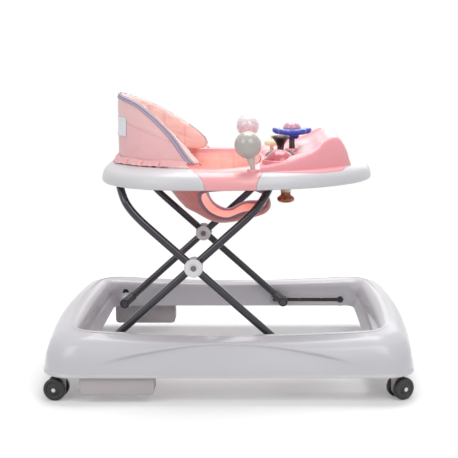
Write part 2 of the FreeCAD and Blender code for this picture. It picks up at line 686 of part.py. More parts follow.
def flower_disc():
    """A six-petalled disc with a hub under it, turning on the post."""
    hub = rod(13, (0, 0, FLOWER_Z - 13), (0, 0, FLOWER_Z))
    petals = [rod(FLOWER_R * 0.62, (0, 0, FLOWER_Z), (0, 0, FLOWER_Z + 9))]
    for i in range(FLOWER_PETALS):
        turn = 2 * math.pi * i / FLOWER_PETALS
        reach = FLOWER_R * 0.62
        x, y = reach * math.cos(turn), reach * math.sin(turn)
        petals.append(rod(FLOWER_R * 0.38, (x, y, FLOWER_Z), (x, y, FLOWER_Z + 9)))
    disc = fuse([hub] + petals)
    disc = disc.cut(rod(AXLE_R + RUN, (0, 0, 0), (0, 0, ROW_BIG)))
    disc.translate(Vector(FLOWER_X, 0, 0))
    return disc


def dome_cap(radius, height, base_z, wall, x, y):
    """A hollow spherical cap, open at the bottom."""
    ball_r = (radius ** 2 + height ** 2) / (2 * height)
    centre = Vector(x, y, base_z + height - ball_r)
    above = box(x - radius - 5, x + radius + 5, y - radius - 5, y + radius + 5, base_z, base_z + 99)
    outer = Part.makeSphere(ball_r, centre).common(above)
    return outer.cut(Part.makeSphere(ball_r - wall, centre))


def flower_cap():
    return dome_cap(17.5, 12, FLOWER_Z + 9, 1.5, FLOWER_X, 0)


def horn_button():
    """A trumpet-shaped squeaker that presses down into the console."""
    base = HORN_PLATE_Z + 5 + HORN_TRAVEL
    profile = ((0, HORN_PLATE_Z - 14), (HORN_STALK_R, HORN_PLATE_Z - 14), (HORN_STALK_R, base),
               (8, base + 4), (14, base + 14), (16.5, base + 18), (16, base + 20), (0, base + 22))
    return turned(profile, HORN_X, HORN_Y)


def horn_plate():
    """The dark plate that the horn stands on, flat on a foot shaped to the console's top."""
    foot = rod(24, (HORN_X, HORN_Y, HORN_PLATE_Z - 16), (HORN_X, HORN_Y, HORN_PLATE_Z))
    foot = foot.cut(console_form(0, -SPLIT_GAP))
    plate = rod(30, (HORN_X, HORN_Y, HORN_PLATE_Z), (HORN_X, HORN_Y, HORN_PLATE_Z + 3))
    hole = rod(HORN_STALK_R + SOFT, (HORN_X, HORN_Y, 0), (HORN_X, HORN_Y, ROW_BIG))
    body = fuse([foot, plate]).cut(hole)
    return max(body.Solids, key=lambda solid: solid.Volume)


def dome_button():
    """A big round push button at the console's side, guided by its opening."""
    spring_z = DOME_TOP - DOME_R
    foot = TRAY_CROWN + DOME_TRAVEL + SEAT
    centre = Vector(DOME_X, DOME_Y, spring_z)
    top = Part.makeSphere(DOME_R, centre).common(
        box(DOME_X - 99, DOME_X + 99, DOME_Y - 99, DOME_Y + 99, spring_z, ROW_BIG))
    skirt = rod(DOME_R, (DOME_X, DOME_Y, foot), (DOME_X, DOME_Y, spring_z))
    inside = fuse([Part.makeSphere(DOME_R - 2, centre),
                   rod(DOME_R - 2, (DOME_X, DOME_Y, 0), (DOME_X, DOME_Y, spring_z))])
    return fuse([top, skirt]).cut(inside)


def spinner():
    """A small yellow knob on a post."""
    z = 452.0
    profile = ((SPINNER_POST_R / 2 + RUN, z), (SPINNER_R - 3, z), (SPINNER_R, z + 3),
               (SPINNER_R, z + 8), (SPINNER_R - 4, z + 13), (SPINNER_POST_R / 2 + RUN, z + 13))
    return turned(profile, SPINNER_X, SPINNER_Y)


def spinner_post():
    return turned(((0, TRAY_CROWN), (SPINNER_POST_R, TRAY_CROWN), (SPINNER_POST_R, 451.7),
                   (SPINNER_POST_R / 2, 451.7), (SPINNER_POST_R / 2, 465), (SPINNER_POST_R, 465.3),
                   (SPINNER_POST_R, 467), (0, 467)), SPINNER_X, SPINNER_Y)


def leaned(shape, side):
    """Lean a piece built upright about the rattle's joint and put it at its side of the tray."""
    tilt = -RATTLE_TILT if side < 0 else -RATTLE_TILT - 4
    shape.rotate(Vector(0, 0, 0), Vector(0, 1, 0), tilt)
    shape.translate(Vector(RATTLE_SOCKET_X, side * RATTLE_SOCKET_Y, RATTLE_SOCKET_Z))
    return shape


def rattle_ball(side):
    middle = Vector(0, 0, RATTLE_REACH)
    ball = Part.makeSphere(RATTLE_BALL_R, middle).cut(
        Part.makeSphere(RATTLE_BALL_R - RATTLE_WALL, middle))
    return leaned(ball.cut(rod(6, (0, 0, 0), (0, 0, RATTLE_REACH))), side)


def rattle_stem(side):
    neck = RATTLE_REACH - RATTLE_BALL_R + 0.2
    stem = turned(((0, 3), (4, 3), (7.5, neck - 2), (5.9, neck - 2), (5.9, neck + 4), (0, neck + 4)))
    return leaned(fuse([Part.makeSphere(RATTLE_JOINT_R, Vector(0, 0, 0)), stem]), side)


def rattle_sockets(form):
    sockets = []
    for side in (-1, 1):
        x, y, z = RATTLE_SOCKET_X, side * RATTLE_SOCKET_Y, RATTLE_SOCKET_Z
        body = rod(RATTLE_SOCKET_R, (x, y, z - 16), (x, y, z + 1.5)).cut(form)
        body = body.cut(Part.makeSphere(RATTLE_JOINT_R + SOFT, Vector(x, y, z)))
        mouth = Part.makeCone(RATTLE_JOINT_R - 0.5, RATTLE_JOINT_R + 4, 8)
        body = body.cut(leaned(mouth, side))
        sockets.append(max(body.Solids, key=lambda solid: solid.Volume))
    return sockets


def sound_module():
    """The box with the speaker and batteries, standing on the deck inside the console."""
    return box(150, 196, -34, 34, TRAY_CROWN, TRAY_CROWN + 20)


def battery_door():
    return box(150, 190, 24, 72, TRAY_CROWN - TRAY_WALL - 2, TRAY_CROWN - TRAY_WALL)


def rear_clamps(cavity):
    """Two saddles that hang the tray on the rear leg frame's bar."""
    block = box(REAR_BAR_X - 13, REAR_BAR_X + 13, 84, 110, TRAY_BOTTOM - 1, TRAY_CROWN)
    block = block.common(cavity)
    bore = rod(TUBE_R + RUN, (REAR_BAR_X, 0, TOP_BAR_Z), (REAR_BAR_X, 200, TOP_BAR_Z))
    return both_sides(block.cut(bore))


def height_track(cavity):
    """Two slotted walls in which the front leg frame's bar runs, with a floor for the latch."""
    rear = HOLE_MID_X + HOLE_FRONT + TRAY_WALL + SEAT
    deck = TRAY_CROWN - TRAY_WALL
    outer = box(rear, TRACK_FRONT, -TRACK_HALF_Y, TRACK_HALF_Y, TRACK_BOTTOM, deck)
    gut = box(rear - 1, TRACK_FRONT + 1, -TRACK_HALF_Y + TRACK_WALL, TRACK_HALF_Y - TRACK_WALL,
              TRACK_BOTTOM + TRACK_WALL, deck + 1)
    body = outer.cut(gut)
    upper = body.common(cavity)
    lower = body.common(box(rear, TRACK_FRONT, -ROW_BIG, ROW_BIG, 0, TRAY_BOTTOM))
    slot_rear = FRONT_BAR_X - TUBE_R - BAR_BACK - 0.4
    slot_front = FRONT_BAR_X + TUBE_R + BAR_FORWARD + 0.4
    slot = box(slot_rear, slot_front, -ROW_BIG, ROW_BIG,
               TOP_BAR_Z - TUBE_R - BAR_DROP - SLOT_LIFT, TOP_BAR_Z + TUBE_R + BAR_RISE + SLOT_LIFT)
    pin_hole = rod(PIN_R + SOFT, (LATCH_X, 0, 0), (LATCH_X, 0, TRAY_BOTTOM))
    return fuse([upper, lower]).cut(slot).cut(pin_hole)


def latch_housing():
    floor = LATCH_NECK_BOTTOM + 3
    profile = ((PIN_R + RUN, LATCH_NECK_BOTTOM), (LATCH_NECK_R, LATCH_NECK_BOTTOM),
               (LATCH_NECK_R, TRACK_BOTTOM - 5), (17, TRACK_BOTTOM - 4), (TRACK_HALF_Y, TRACK_BOTTOM),
               (SPRING_R + 0.6, TRACK_BOTTOM), (SPRING_R + 0.6, floor), (PIN_R + RUN, floor))
    return turned(profile, LATCH_X)


def latch_pin():
    collar = TRACK_BOTTOM - 7
    return turned(((0, KNOB_BOTTOM + 4), (PIN_R, KNOB_BOTTOM + 4), (PIN_R, collar),
                   (SPRING_R + 0.3, collar), (SPRING_R + 0.3, collar + 2), (PIN_R, collar + 2),
                   (PIN_R, LATCH_PIN_TOP),
                   (0, LATCH_PIN_TOP)), LATCH_X)


def latch_spring():
    collar = TRACK_BOTTOM - 7
    return ring(SPRING_R, PIN_R + 0.6, (LATCH_X, 0, LATCH_NECK_BOTTOM + 3), (LATCH_X, 0, collar))


def latch_knob():
    top = LATCH_NECK_BOTTOM - SEAT
    profile = ((0, KNOB_BOTTOM), (KNOB_R - 4, KNOB_BOTTOM), (KNOB_R, KNOB_BOTTOM + 4),
               (KNOB_R, KNOB_BOTTOM + 9), (KNOB_R - 3, KNOB_BOTTOM + 12), (10, top), (PIN_R, top),
               (PIN_R, KNOB_BOTTOM + 4), (0, KNOB_BOTTOM + 4))
    return turned(profile, LATCH_X)


# ---------------------------------------------------------------- seat
def back_outline(inset, z):
    return egg_outline(BACK_MID_X, BACK_REAR - inset, BACK_REAR - inset, BACK_HALF_Y - inset,
                       BACK_POWER, BACK_POWER, z)


def seat_back():
    """The padded wrap-around back: high behind the child and falling to the sides."""
    bottom = TRAY_CROWN + SOFT
    tall = ROW_BIG / 4
    body = prism(back_outline(0, bottom), tall).cut(prism(back_outline(BACK_THICK, bottom - 1), tall + 2))
    low = TRAY_BOTTOM
    outline = [(BACK_PROFILE[0][0], low)] + list(BACK_PROFILE) + [(BACK_END_X, low)]
    return body.common(side_prism(outline, ROW_BIG))


def sling_form(inset):
    wires = [hole_outline(-HEM_GAP - inset, SLING_TOP)]
    for z, mid_x, rear, front, half_y in SLING_STEPS:
        low = z + inset if z == SLING_STEPS[-1][0] else z
        wires.append(egg_outline(mid_x, rear - inset, front - inset, half_y - inset,
                                 HOLE_POWER, HOLE_POWER, low))
    return Part.makeLoft(wires, True, True)


def seat_sling():
    """The fabric bucket below the tray, open at the top and at two leg holes."""
    bucket = sling_form(0).cut(sling_form(SLING_WALL))
    ellipse = Part.Ellipse(Vector(0, 0, 0), LEG_HOLE_R, LEG_HOLE_R * LEG_HOLE_SQUASH)
    face = Part.Face(Part.Wire(ellipse.toShape()))
    face.rotate(Vector(0, 0, 0), Vector(1, 0, 0), 90)
    face.translate(Vector(LEG_HOLE_X, -LEG_HOLE_INNER_Y, LEG_HOLE_Z))
    hole = face.extrude(Vector(0, -ROW_BIG, 0))
    for side in both_sides(hole):
        bucket = bucket.cut(side)
    return bucket


def seat_clips():
    """Six snap tabs under the edge of the seat opening that hold the fabric's hem."""
    band = prism(hole_outline(TRAY_WALL + 3, SKIRT_BOTTOM - 5), 5)
    band = band.cut(prism(hole_outline(0.5, SKIRT_BOTTOM - 6), 7))
    clips = []
    for turn in (35, 90, 145, 215, 270, 325):
        bar = Part.makeBox(ROW_BIG / 2, 14, 20, Vector(0, -7, SKIRT_BOTTOM - 10))
        bar.rotate(Vector(0, 0, 0), Vector(0, 0, 1), turn)
        bar.translate(Vector(HOLE_MID_X, 0, 0))
        clips.append(band.common(bar))
    return clips


# ---------------------------------------------------------------- build
def build():
    os.makedirs("parts", exist_ok=True)
    save("base_frame", base_frame())
    save("stopper_pads", stopper_pads())
    save("stopper_screws", stopper_screws())
    save("caster_sleeves", caster_sleeves())
    for corner in CASTER_TURNS:
        save("caster_housing_" + corner, placed(caster_housing(), corner))
        save("caster_pins_" + corner, [placed(pin, corner) for pin in caster_pins()])
        for name, way in (("outer", outer_way(corner)), ("inner", -outer_way(corner))):
            save("wheel_" + corner + "_" + name, placed(caster_wheel(way), corner))

    save("pivot_frame", leg_tube(True, LEG_INNER_Y, KNEE_REACH, FRONT_BAR_X, FRONT_BAR_HALF))
    save("pivot_frame_caps", end_caps(True, LEG_INNER_Y))
    save("pivot_pins", pivot_pins())
    save("slide_frame", leg_tube(False, LEG_OUTER_Y, REAR_KNEE_REACH, REAR_BAR_X, REAR_BAR_HALF))
    save("slide_frame_caps", end_caps(False, LEG_OUTER_Y))
    save("slide_pins", slide_pins())
    save("cross_bolts", cross_bolts())
    save("cross_discs_outer", cross_discs_outer())
    save("cross_discs_inner", cross_discs_inner())
    save("cross_spacers", cross_spacers())

    form, cavity = tray_form(), tray_cavity()
    middle, rear, front = tray_pieces(tray_shell(form, cavity))
    save("tray_ring", middle)
    save("tray_rear_band", rear)
    save("tray_front_band", front)
    save("console", console(form))
    save("sound_module", sound_module())
    save("battery_door", battery_door())
    save("rear_clamps", rear_clamps(cavity))
    save("height_track", height_track(cavity))
    save("latch_housing", latch_housing())
    save("latch_pin", latch_pin())
    save("latch_spring", latch_spring())
    save("latch_knob", latch_knob())

    save("flower_post", flower_post())
    save("flower_disc", flower_disc())
    save("flower_cap", flower_cap())
    save("horn_plate", horn_plate())
    save("horn_button", horn_button())
    save("dome_button", dome_button())
    save("spinner_post", spinner_post())
    save("spinner_knob", spinner())
    save("rattle_sockets", rattle_sockets(form))
    for side, name in ((-1, "right"), (1, "left")):
        save("rattle_ball_" + name, rattle_ball(side))
        save("rattle_stem_" + name, rattle_stem(side))

    save("seat_back", seat_back())
    save("seat_sling", seat_sling())
    save("seat_clips", seat_clips())


build()
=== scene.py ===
"""Folding baby walker: moulded shells, tubes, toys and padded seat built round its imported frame."""

import bmesh
import bpy
import math
import numpy as np

from mathutils import Matrix, Vector
from mathutils.bvhtree import BVHTree


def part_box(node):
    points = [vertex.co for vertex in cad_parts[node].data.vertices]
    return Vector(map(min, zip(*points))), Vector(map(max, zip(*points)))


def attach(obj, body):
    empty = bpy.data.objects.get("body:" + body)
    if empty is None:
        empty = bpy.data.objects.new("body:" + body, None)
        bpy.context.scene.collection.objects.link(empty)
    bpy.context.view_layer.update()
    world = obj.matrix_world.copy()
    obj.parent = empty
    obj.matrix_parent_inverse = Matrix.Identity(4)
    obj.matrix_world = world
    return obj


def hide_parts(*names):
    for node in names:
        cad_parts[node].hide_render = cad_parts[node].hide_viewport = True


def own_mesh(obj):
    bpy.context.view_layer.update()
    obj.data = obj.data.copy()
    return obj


bl_info = {
    "name": "Baby walker",
    "version": (1, 0, 0),
    "blender": (4, 5, 0),
    "location": "3D View > Sidebar > Walker",
    "description": "Builds a folding baby walker round its packed frame",
    "category": "Object",
}

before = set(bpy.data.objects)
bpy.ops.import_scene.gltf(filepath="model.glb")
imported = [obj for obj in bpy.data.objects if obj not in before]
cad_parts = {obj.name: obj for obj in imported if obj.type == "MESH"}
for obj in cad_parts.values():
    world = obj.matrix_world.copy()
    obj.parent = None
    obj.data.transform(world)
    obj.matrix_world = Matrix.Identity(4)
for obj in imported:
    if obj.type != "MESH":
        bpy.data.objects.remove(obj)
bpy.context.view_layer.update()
MM = 0.001
DUST = (0.72, 0.7, 0.68, 1.0)
TUBE_DUST = (0.4, 0.4, 0.42, 1.0)


def srgb(red, green, blue):
    """A linear colour from the 0 to 255 values of a screen colour."""
    parts = [value / 255 for value in (red, green, blue)]
    return tuple(p / 12.92 if p < 0.04045 else ((p + 0.055) / 1.055) ** 2.4 for p in parts)


# ---------------------------------------------------------------- settings
def size(name, description, default):
    return bpy.props.FloatProperty(name=name, description=description, default=default, unit="LENGTH")


def colour(name, description, default):
    return bpy.props.FloatVectorProperty(name=name, description=description, default=default,
                                         subtype="COLOR", size=3, min=0, max=1)


class WalkerBase(bpy.types.PropertyGroup):
    shell: colour("Base shell", "Colour of the moulded base ring", srgb(200, 199, 205))
    stopper: colour("Stoppers", "Colour of the blocks under the rear", srgb(186, 179, 182))
    housing: colour("Housings", "Colour of the caster housings", srgb(188, 178, 170))
    wheel: colour("Wheels", "Colour of the caster wheels", srgb(10, 10, 15))
    arch_step: size("Arch step", "Depth of the sculpted arch in the side walls", 7.0 * MM)
    lip: size("Lip", "How far the bottom lip stands out", 1.6 * MM)


class WalkerLegs(bpy.types.PropertyGroup):
    tube: colour("Tubes", "Colour of the painted leg tubes", srgb(34, 31, 44))
    cap: colour("Caps", "Colour of the plastic caps on the tubes", srgb(30, 28, 34))
    disc: colour("Discs", "Colour of the discs on the crossings", srgb(222, 220, 224))
    steel: colour("Steel", "Colour of the pins and screws", srgb(196, 197, 202))
    radius: size("Tube radius", "Radius of the leg tubes", 7.5 * MM)


class WalkerTray(bpy.types.PropertyGroup):
    white: colour("White bands", "Colour of the front and rear bands", srgb(207, 206, 210))
    pink: colour("Pink shell", "Colour of the tray's middle", srgb(242, 166, 170))
    console: colour("Console", "Colour of the play console", srgb(244, 160, 168))
    track: colour("Track", "Colour of the track and clamps", srgb(220, 214, 208))
    latch: colour("Latch", "Colour of the latch housing", srgb(234, 204, 180))
    knob: colour("Knob", "Colour of the latch knob", srgb(190, 96, 44))
    module: colour("Module", "Colour of the sound module", srgb(64, 64, 70))


class WalkerToys(bpy.types.PropertyGroup):
    blue: colour("Flower", "Colour of the flower disc", srgb(14, 58, 182))
    pink: colour("Dome", "Colour of the flower's cap", srgb(233, 163, 183))
    black: colour("Horn", "Colour of the horn", srgb(12, 9, 9))
    dark: colour("Plate", "Colour of the horn's plate", srgb(60, 44, 40))
    yellow: colour("Spinner", "Colour of the small knob", srgb(238, 242, 206))
    clear: colour("Rattle ball", "Colour of the rattles' balls", srgb(190, 185, 180))
    stem: colour("Rattle stem", "Colour of the rattles' stems", srgb(196, 190, 186))
    petal_wave: size("Petal wave", "How far the flower's edge rises and falls", 1.3 * MM)


class WalkerSeat(bpy.types.PropertyGroup):
    cover: colour("Cover", "Colour of the padded cover", srgb(255, 200, 203))
    lining: colour("Lining", "Colour of the seat's lining", srgb(255, 224, 216))
    sling: colour("Sling", "Colour of the seat sling", srgb(224, 126, 120))
    binding: colour("Binding", "Colour of the binding tape", srgb(192, 180, 196))
    dark_binding: colour("Leg binding", "Colour of the tape round the leg holes", srgb(150, 120, 134))
    label: colour("Label", "Colour of the blank label", srgb(238, 240, 243))
    thread: colour("Thread", "Colour of the stitching", srgb(228, 172, 176))
    puff: size("Puff", "Most that the padding may swell", 7 * MM)
    tape: size("Tape", "Width of the binding tape", 15 * MM)


class WalkerStage(bpy.types.PropertyGroup):
    floor: colour("Floor", "Colour of the floor", srgb(240, 240, 241))
    distance: size("Camera distance", "From the camera to the middle of the walker", 2.25)
    height: size("Camera height", "Camera above the floor", 0.6675)


def settings(group):
    return getattr(bpy.context.scene, "walker_" + group)


# ---------------------------------------------------------------- shader nodes
def new_group(name, inputs, outputs):
    """A shader node group with named float, vector or colour sockets."""
    tree = bpy.data.node_groups.new(name, "ShaderNodeTree")
    kinds = {"f": "NodeSocketFloat", "v": "NodeSocketVector", "c": "NodeSocketColor"}
    for label, kind, default in inputs:
        socket = tree.interface.new_socket(name=label, in_out="INPUT", socket_type=kinds[kind])
        if default is not None:
            socket.default_value = default
    for label, kind in outputs:
        tree.interface.new_socket(name=label, in_out="OUTPUT", socket_type=kinds[kind])
    return tree, tree.nodes.new("NodeGroupInput"), tree.nodes.new("NodeGroupOutput")


def put(tree, kind, values=None, **settings_of):
    """A node with its settings, and its inputs set to values or linked to sockets."""
    node = tree.nodes.new(kind)
    for key, value in settings_of.items():
        setattr(node, key, value)
    for key, value in (values or {}).items():
        if isinstance(value, bpy.types.NodeSocket):
            tree.links.new(value, node.inputs[key])
        else:
            node.inputs[key].default_value = value
    return node


def maths(tree, operation, first, second=0.0, clamp=False):
    return put(tree, "ShaderNodeMath", {0: first, 1: second}, operation=operation,
               use_clamp=clamp).outputs[0]


def noise(tree, vector, scale, detail, **more):
    """The grey value of a noise texture."""
    values = {"Vector": vector, "Scale": scale, "Detail": detail}
    values.update({key.capitalize(): value for key, value in more.items()})
    return put(tree, "ShaderNodeTexNoise", values).outputs["Fac"]


def bumped(tree, shader, strength, distance, height):
    bump = put(tree, "ShaderNodeBump", {"Strength": strength, "Distance": distance, "Height": height})
    tree.links.new(bump.outputs["Normal"], shader.inputs["Normal"])


def constants(shader, **values):
    """Fixed values of the shader's sockets, by name with _ for each space."""
    for key, value in values.items():
        shader.inputs[key.replace("_", " ")].default_value = value


def seen_directly(tree):
    """1 for camera, glossy and transmission rays, else 0."""
    path = put(tree, "ShaderNodeLightPath")
    return maths(tree, "MAXIMUM", path.outputs["Is Camera Ray"],
                 maths(tree, "MAXIMUM", path.outputs["Is Glossy Ray"], path.outputs["Is Transmission Ray"]))


def build_mould_grain():
    """Fine moulded grain: a height and a slow tone that drifts over the piece."""
    tree, given, out = new_group("mould_grain", [("Vector", "v", None), ("Fineness", "f", 900.0)],
                                 [("Height", "f"), ("Tone", "f")])
    place = given.outputs["Vector"]
    tree.links.new(noise(tree, place, given.outputs["Fineness"], 3.0), out.inputs["Height"])
    tree.links.new(noise(tree, place, 7.0, 2.0), out.inputs["Tone"])
    return tree


def build_edge_wear():
    """A mask of rubbed edges, broken up by noise."""
    tree, given, out = new_group("edge_wear", [("Vector", "v", None), ("Amount", "f", 0.5)],
                                 [("Mask", "f")])
    edge = put(tree, "ShaderNodeNewGeometry").outputs["Pointiness"]
    sharp = maths(tree, "MULTIPLY", maths(tree, "SUBTRACT", edge, 0.515), 9.0, True)
    broken = noise(tree, given.outputs["Vector"], 90.0, 4.0)
    mask = maths(tree, "MULTIPLY", sharp, maths(tree, "MULTIPLY", broken, 1.6))
    tree.links.new(maths(tree, "MULTIPLY", mask, given.outputs["Amount"], True), out.inputs["Mask"])
    return tree


def build_fine_dust():
    """A thin film of dust, thicker where a face looks up."""
    tree, given, out = new_group("fine_dust", [("Vector", "v", None), ("Amount", "f", 0.15)],
                                 [("Mask", "f")])
    normal = put(tree, "ShaderNodeNewGeometry").outputs["Normal"]
    up = put(tree, "ShaderNodeSeparateXYZ", {0: normal}).outputs["Z"]
    speckle = noise(tree, given.outputs["Vector"], 320.0, 5.0, roughness=0.7)
    patches = maths(tree, "MULTIPLY", speckle, maths(tree, "ADD", maths(tree, "MULTIPLY", up, 0.5), 0.5))
    tree.links.new(maths(tree, "MULTIPLY", patches, given.outputs["Amount"], True), out.inputs["Mask"])
    return tree


def build_cloth_weave():
    """Plain weave from two crossed sets of threads: a height, and a tone that follows the height, darker in the dips
    between threads as painted shade, with a random drift.
    """
    tree, given, out = new_group("cloth_weave", [("Vector", "v", None), ("Threads", "f", 1400.0)],
                                 [("Height", "f"), ("Tone", "f")])
    parts = put(tree, "ShaderNodeSeparateXYZ", {0: given.outputs["Vector"]})
    slack = noise(tree, given.outputs["Vector"], 60.0, 3.0)
    waves = []
    for along in ((("X", 1.0), ("Y", 0.6)), (("Z", 1.0), ("Y", 0.35))):
        total = maths(tree, "ADD", *[maths(tree, "MULTIPLY", parts.outputs[axis], weight)
                                     for axis, weight in along])
        phase = maths(tree, "ADD", maths(tree, "MULTIPLY", total, given.outputs["Threads"]),
                      maths(tree, "MULTIPLY", slack, 4.0))
        waves.append(maths(tree, "SINE", maths(tree, "MULTIPLY", phase, math.pi)))
    crossed = maths(tree, "MULTIPLY", waves[0], waves[1])
    height = maths(tree, "ADD", maths(tree, "MULTIPLY", crossed, 0.5), 0.5)
    tree.links.new(height, out.inputs["Height"])
    # Tone: half the weave height, which gives painted shade in the dips between threads, and half random slack.
    tree.links.new(maths(tree, "ADD", maths(tree, "MULTIPLY", height, 0.5),
                         maths(tree, "MULTIPLY", slack, 0.5)), out.inputs["Tone"])
    return tree


BUILDERS = {"mould_grain": build_mould_grain, "edge_wear": build_edge_wear,
            "fine_dust": build_fine_dust, "cloth_weave": build_cloth_weave}


def effect(tree, name, vector, **values):
    """One shared effect placed in a material with its own values."""
    group = bpy.data.node_groups.get(name) or BUILDERS[name]()
    node = put(tree, "ShaderNodeGroup", node_tree=group)
    tree.links.new(vector, node.inputs["Vector"])
    for key, value in values.items():
        node.inputs[key].default_value = value
    return node


def mixed(tree, mask, first, second):
    """Colour first where the mask is 0 and second where it is 1."""
    node = put(tree, "ShaderNodeMix", data_type="RGBA")
    for socket, value in ((node.inputs[0], mask), (node.inputs[6], first), (node.inputs[7], second)):
        if isinstance(value, bpy.types.NodeSocket):
            tree.links.new(value, socket)
        else:
            socket.default_value = value
    return node.outputs[2]


def shade(base, factor):
    return tuple(min(1.0, c * factor) for c in base[:3]) + (1.0,)


def once(make):
    """Make each material the first time its name is used, and give the same one after that."""
    def known(name, *values, **more):
        return bpy.data.materials.get(name + "_finish") or make(name, *values, **more)
    return known


def empty_material(name):
    """A new material: (material, node tree, Principled shader, object coordinates)."""
    material = bpy.data.materials.new(name + "_finish")
    material.use_nodes = True
    tree = material.node_tree
    shader = tree.nodes["Principled BSDF"]
    place = put(tree, "ShaderNodeTexCoord").outputs["Object"]
    return material, tree, shader, place


@once
def plastic(name, base, roughness=0.32, coat=0.25, grain=0.02, dust=0.12, wear=0.15, through=0.0,
            fineness=900.0):
    """Moulded plastic: grain, a slow drift of tone, rubbed edges and a little dust."""
    material, tree, shader, place = empty_material(name)
    grained = effect(tree, "mould_grain", place, Fineness=fineness)
    rubbed = effect(tree, "edge_wear", place, Amount=wear).outputs["Mask"]
    dusty = effect(tree, "fine_dust", place, Amount=dust).outputs["Mask"]
    tone = mixed(tree, grained.outputs["Tone"], shade(base, 0.95), shade(base, 1.04))
    tone = mixed(tree, rubbed, tone, shade(base, 1.25))
    tone = mixed(tree, dusty, tone, DUST)
    tree.links.new(tone, shader.inputs["Base Color"])
    rough = maths(tree, "ADD", roughness - 0.04, maths(tree, "MULTIPLY", grained.outputs["Tone"], 0.08))
    rough = maths(tree, "ADD", rough, maths(tree, "MULTIPLY", dusty, 0.5), True)
    tree.links.new(rough, shader.inputs["Roughness"])
    bumped(tree, shader, grain, 0.0004, grained.outputs["Height"])
    constants(shader, Coat_Weight=coat, Coat_Roughness=0.08)
    if through:
        constants(shader, Transmission_Weight=through, IOR=1.45)
    return material


@once
def painted_steel(name, base):
    """Powder-painted tube: glossy, faint orange peel, and scuffs."""
    material, tree, shader, place = empty_material(name)
    grained = effect(tree, "mould_grain", place, Fineness=260.0)
    dusty = effect(tree, "fine_dust", place, Amount=0.05).outputs["Mask"]
    tone = mixed(tree, grained.outputs["Tone"], shade(base, 0.8), shade(base, 1.2))
    tone = mixed(tree, dusty, tone, TUBE_DUST)
    tree.links.new(tone, shader.inputs["Base Color"])
    rough = maths(tree, "ADD", 0.15, maths(tree, "MULTIPLY", grained.outputs["Tone"], 0.1))
    tree.links.new(rough, shader.inputs["Roughness"])
    bumped(tree, shader, 0.02, 0.0002, grained.outputs["Height"])
    constants(shader, Coat_Weight=0.5, Coat_Roughness=0.06, Specular_IOR_Level=0.35)
    return material


@once
def metal(name, base):
    """Zinc-plated steel with fine turning marks."""
    material, tree, shader, place = empty_material(name)
    grained = effect(tree, "mould_grain", place, Fineness=1500.0)
    tone = mixed(tree, grained.outputs["Tone"], shade(base, 0.85), shade(base, 1.1))
    tree.links.new(tone, shader.inputs["Base Color"])
    rough = maths(tree, "ADD", 0.22, maths(tree, "MULTIPLY", grained.outputs["Height"], 0.2))
    tree.links.new(rough, shader.inputs["Roughness"])
    constants(shader, Metallic=1.0)
    return material


@once
def cloth(name, base, deep, threads=700.0, sheen=0.55, roughness=0.8, crease=0.25):
    """Woven cover cloth: threads, the deep colour painted as shade in noise folds and concave places, and a soft
    sheen.
    """
    material, tree, shader, place = empty_material(name)
    woven = effect(tree, "cloth_weave", place, Threads=threads)
    folds = noise(tree, place, 26.0, 3.0, distortion=0.6)
    # Mask of concave places, where painted shade goes.
    hollow_shade = put(tree, "ShaderNodeNewGeometry").outputs["Pointiness"]
    hollow_shade = maths(tree, "MULTIPLY", maths(tree, "SUBTRACT", 0.5, hollow_shade), 6.0, True)
    # The weave tone darkens the dips between threads: painted shade at thread scale.
    tone = mixed(tree, woven.outputs["Tone"], shade(base, 0.9), shade(base, 1.08))
    # Noise folds, weighted by crease, take the deep colour: painted shade in the folds.
    tone = mixed(tree, maths(tree, "MULTIPLY", folds, crease), tone, tuple(deep) + (1.0,))
    # Concave places take a darker copy of the deep colour: painted shade.
    tone = mixed(tree, hollow_shade, tone, shade(deep, 0.8))
    tree.links.new(tone, shader.inputs["Base Color"])
    high = maths(tree, "ADD", maths(tree, "MULTIPLY", woven.outputs["Height"], 0.35),
                 maths(tree, "MULTIPLY", folds, 1.6))
    bumped(tree, shader, 0.35, 0.0009, high)
    constants(shader, Roughness=roughness, Sheen_Weight=sheen, Sheen_Roughness=0.4)
    return material


# ---------------------------------------------------------------- geometry nodes
def new_geometry_tree(name, inputs):
    """A Geometry Nodes tree with a geometry in and out and named inputs."""
    known = bpy.data.node_groups.get(name)
    if known:
        return known, None, None
    tree = bpy.data.node_groups.new(name, "GeometryNodeTree")
    tree.interface.new_socket(name="Geometry", in_out="INPUT", socket_type="NodeSocketGeometry")
    for label, kind, default in inputs:
        socket = tree.interface.new_socket(name=label, in_out="INPUT", socket_type="NodeSocket" + kind)
        if default is not None:
            socket.default_value = default
    tree.interface.new_socket(name="Geometry", in_out="OUTPUT", socket_type="NodeSocketGeometry")
    return tree, tree.nodes.new("NodeGroupInput"), tree.nodes.new("NodeGroupOutput")


def finish_tree(tree, given, out, geometry):
    """Every tree ends in Realize Instances and Set Material."""
    real = put(tree, "GeometryNodeRealizeInstances", {"Geometry": geometry})
    dressed = put(tree, "GeometryNodeSetMaterial", {"Geometry": real.outputs["Geometry"],
                                                    "Material": given.outputs["Material"]})
    tree.links.new(dressed.outputs["Geometry"], out.inputs["Geometry"])


def tube_tree():
    """A round tube along a line of points."""
    tree, given, out = new_geometry_tree("tube", [
        ("Radius", "Float", 0.0075), ("Around", "Int", 36), ("Material", "Material", None)])
    if given is None:
        return tree
    line = put(tree, "GeometryNodeMeshToCurve", {"Mesh": given.outputs["Geometry"]})
    section = put(tree, "GeometryNodeCurvePrimitiveCircle", {"Resolution": given.outputs["Around"],
                                                             "Radius": given.outputs["Radius"]})
    skin = put(tree, "GeometryNodeCurveToMesh", {"Curve": line.outputs["Curve"],
                                                 "Profile Curve": section.outputs["Curve"],
                                                 "Fill Caps": True})
    smooth = put(tree, "GeometryNodeSetShadeSmooth", {"Geometry": skin.outputs["Mesh"]})
    finish_tree(tree, given, out, smooth.outputs["Geometry"])
    return tree


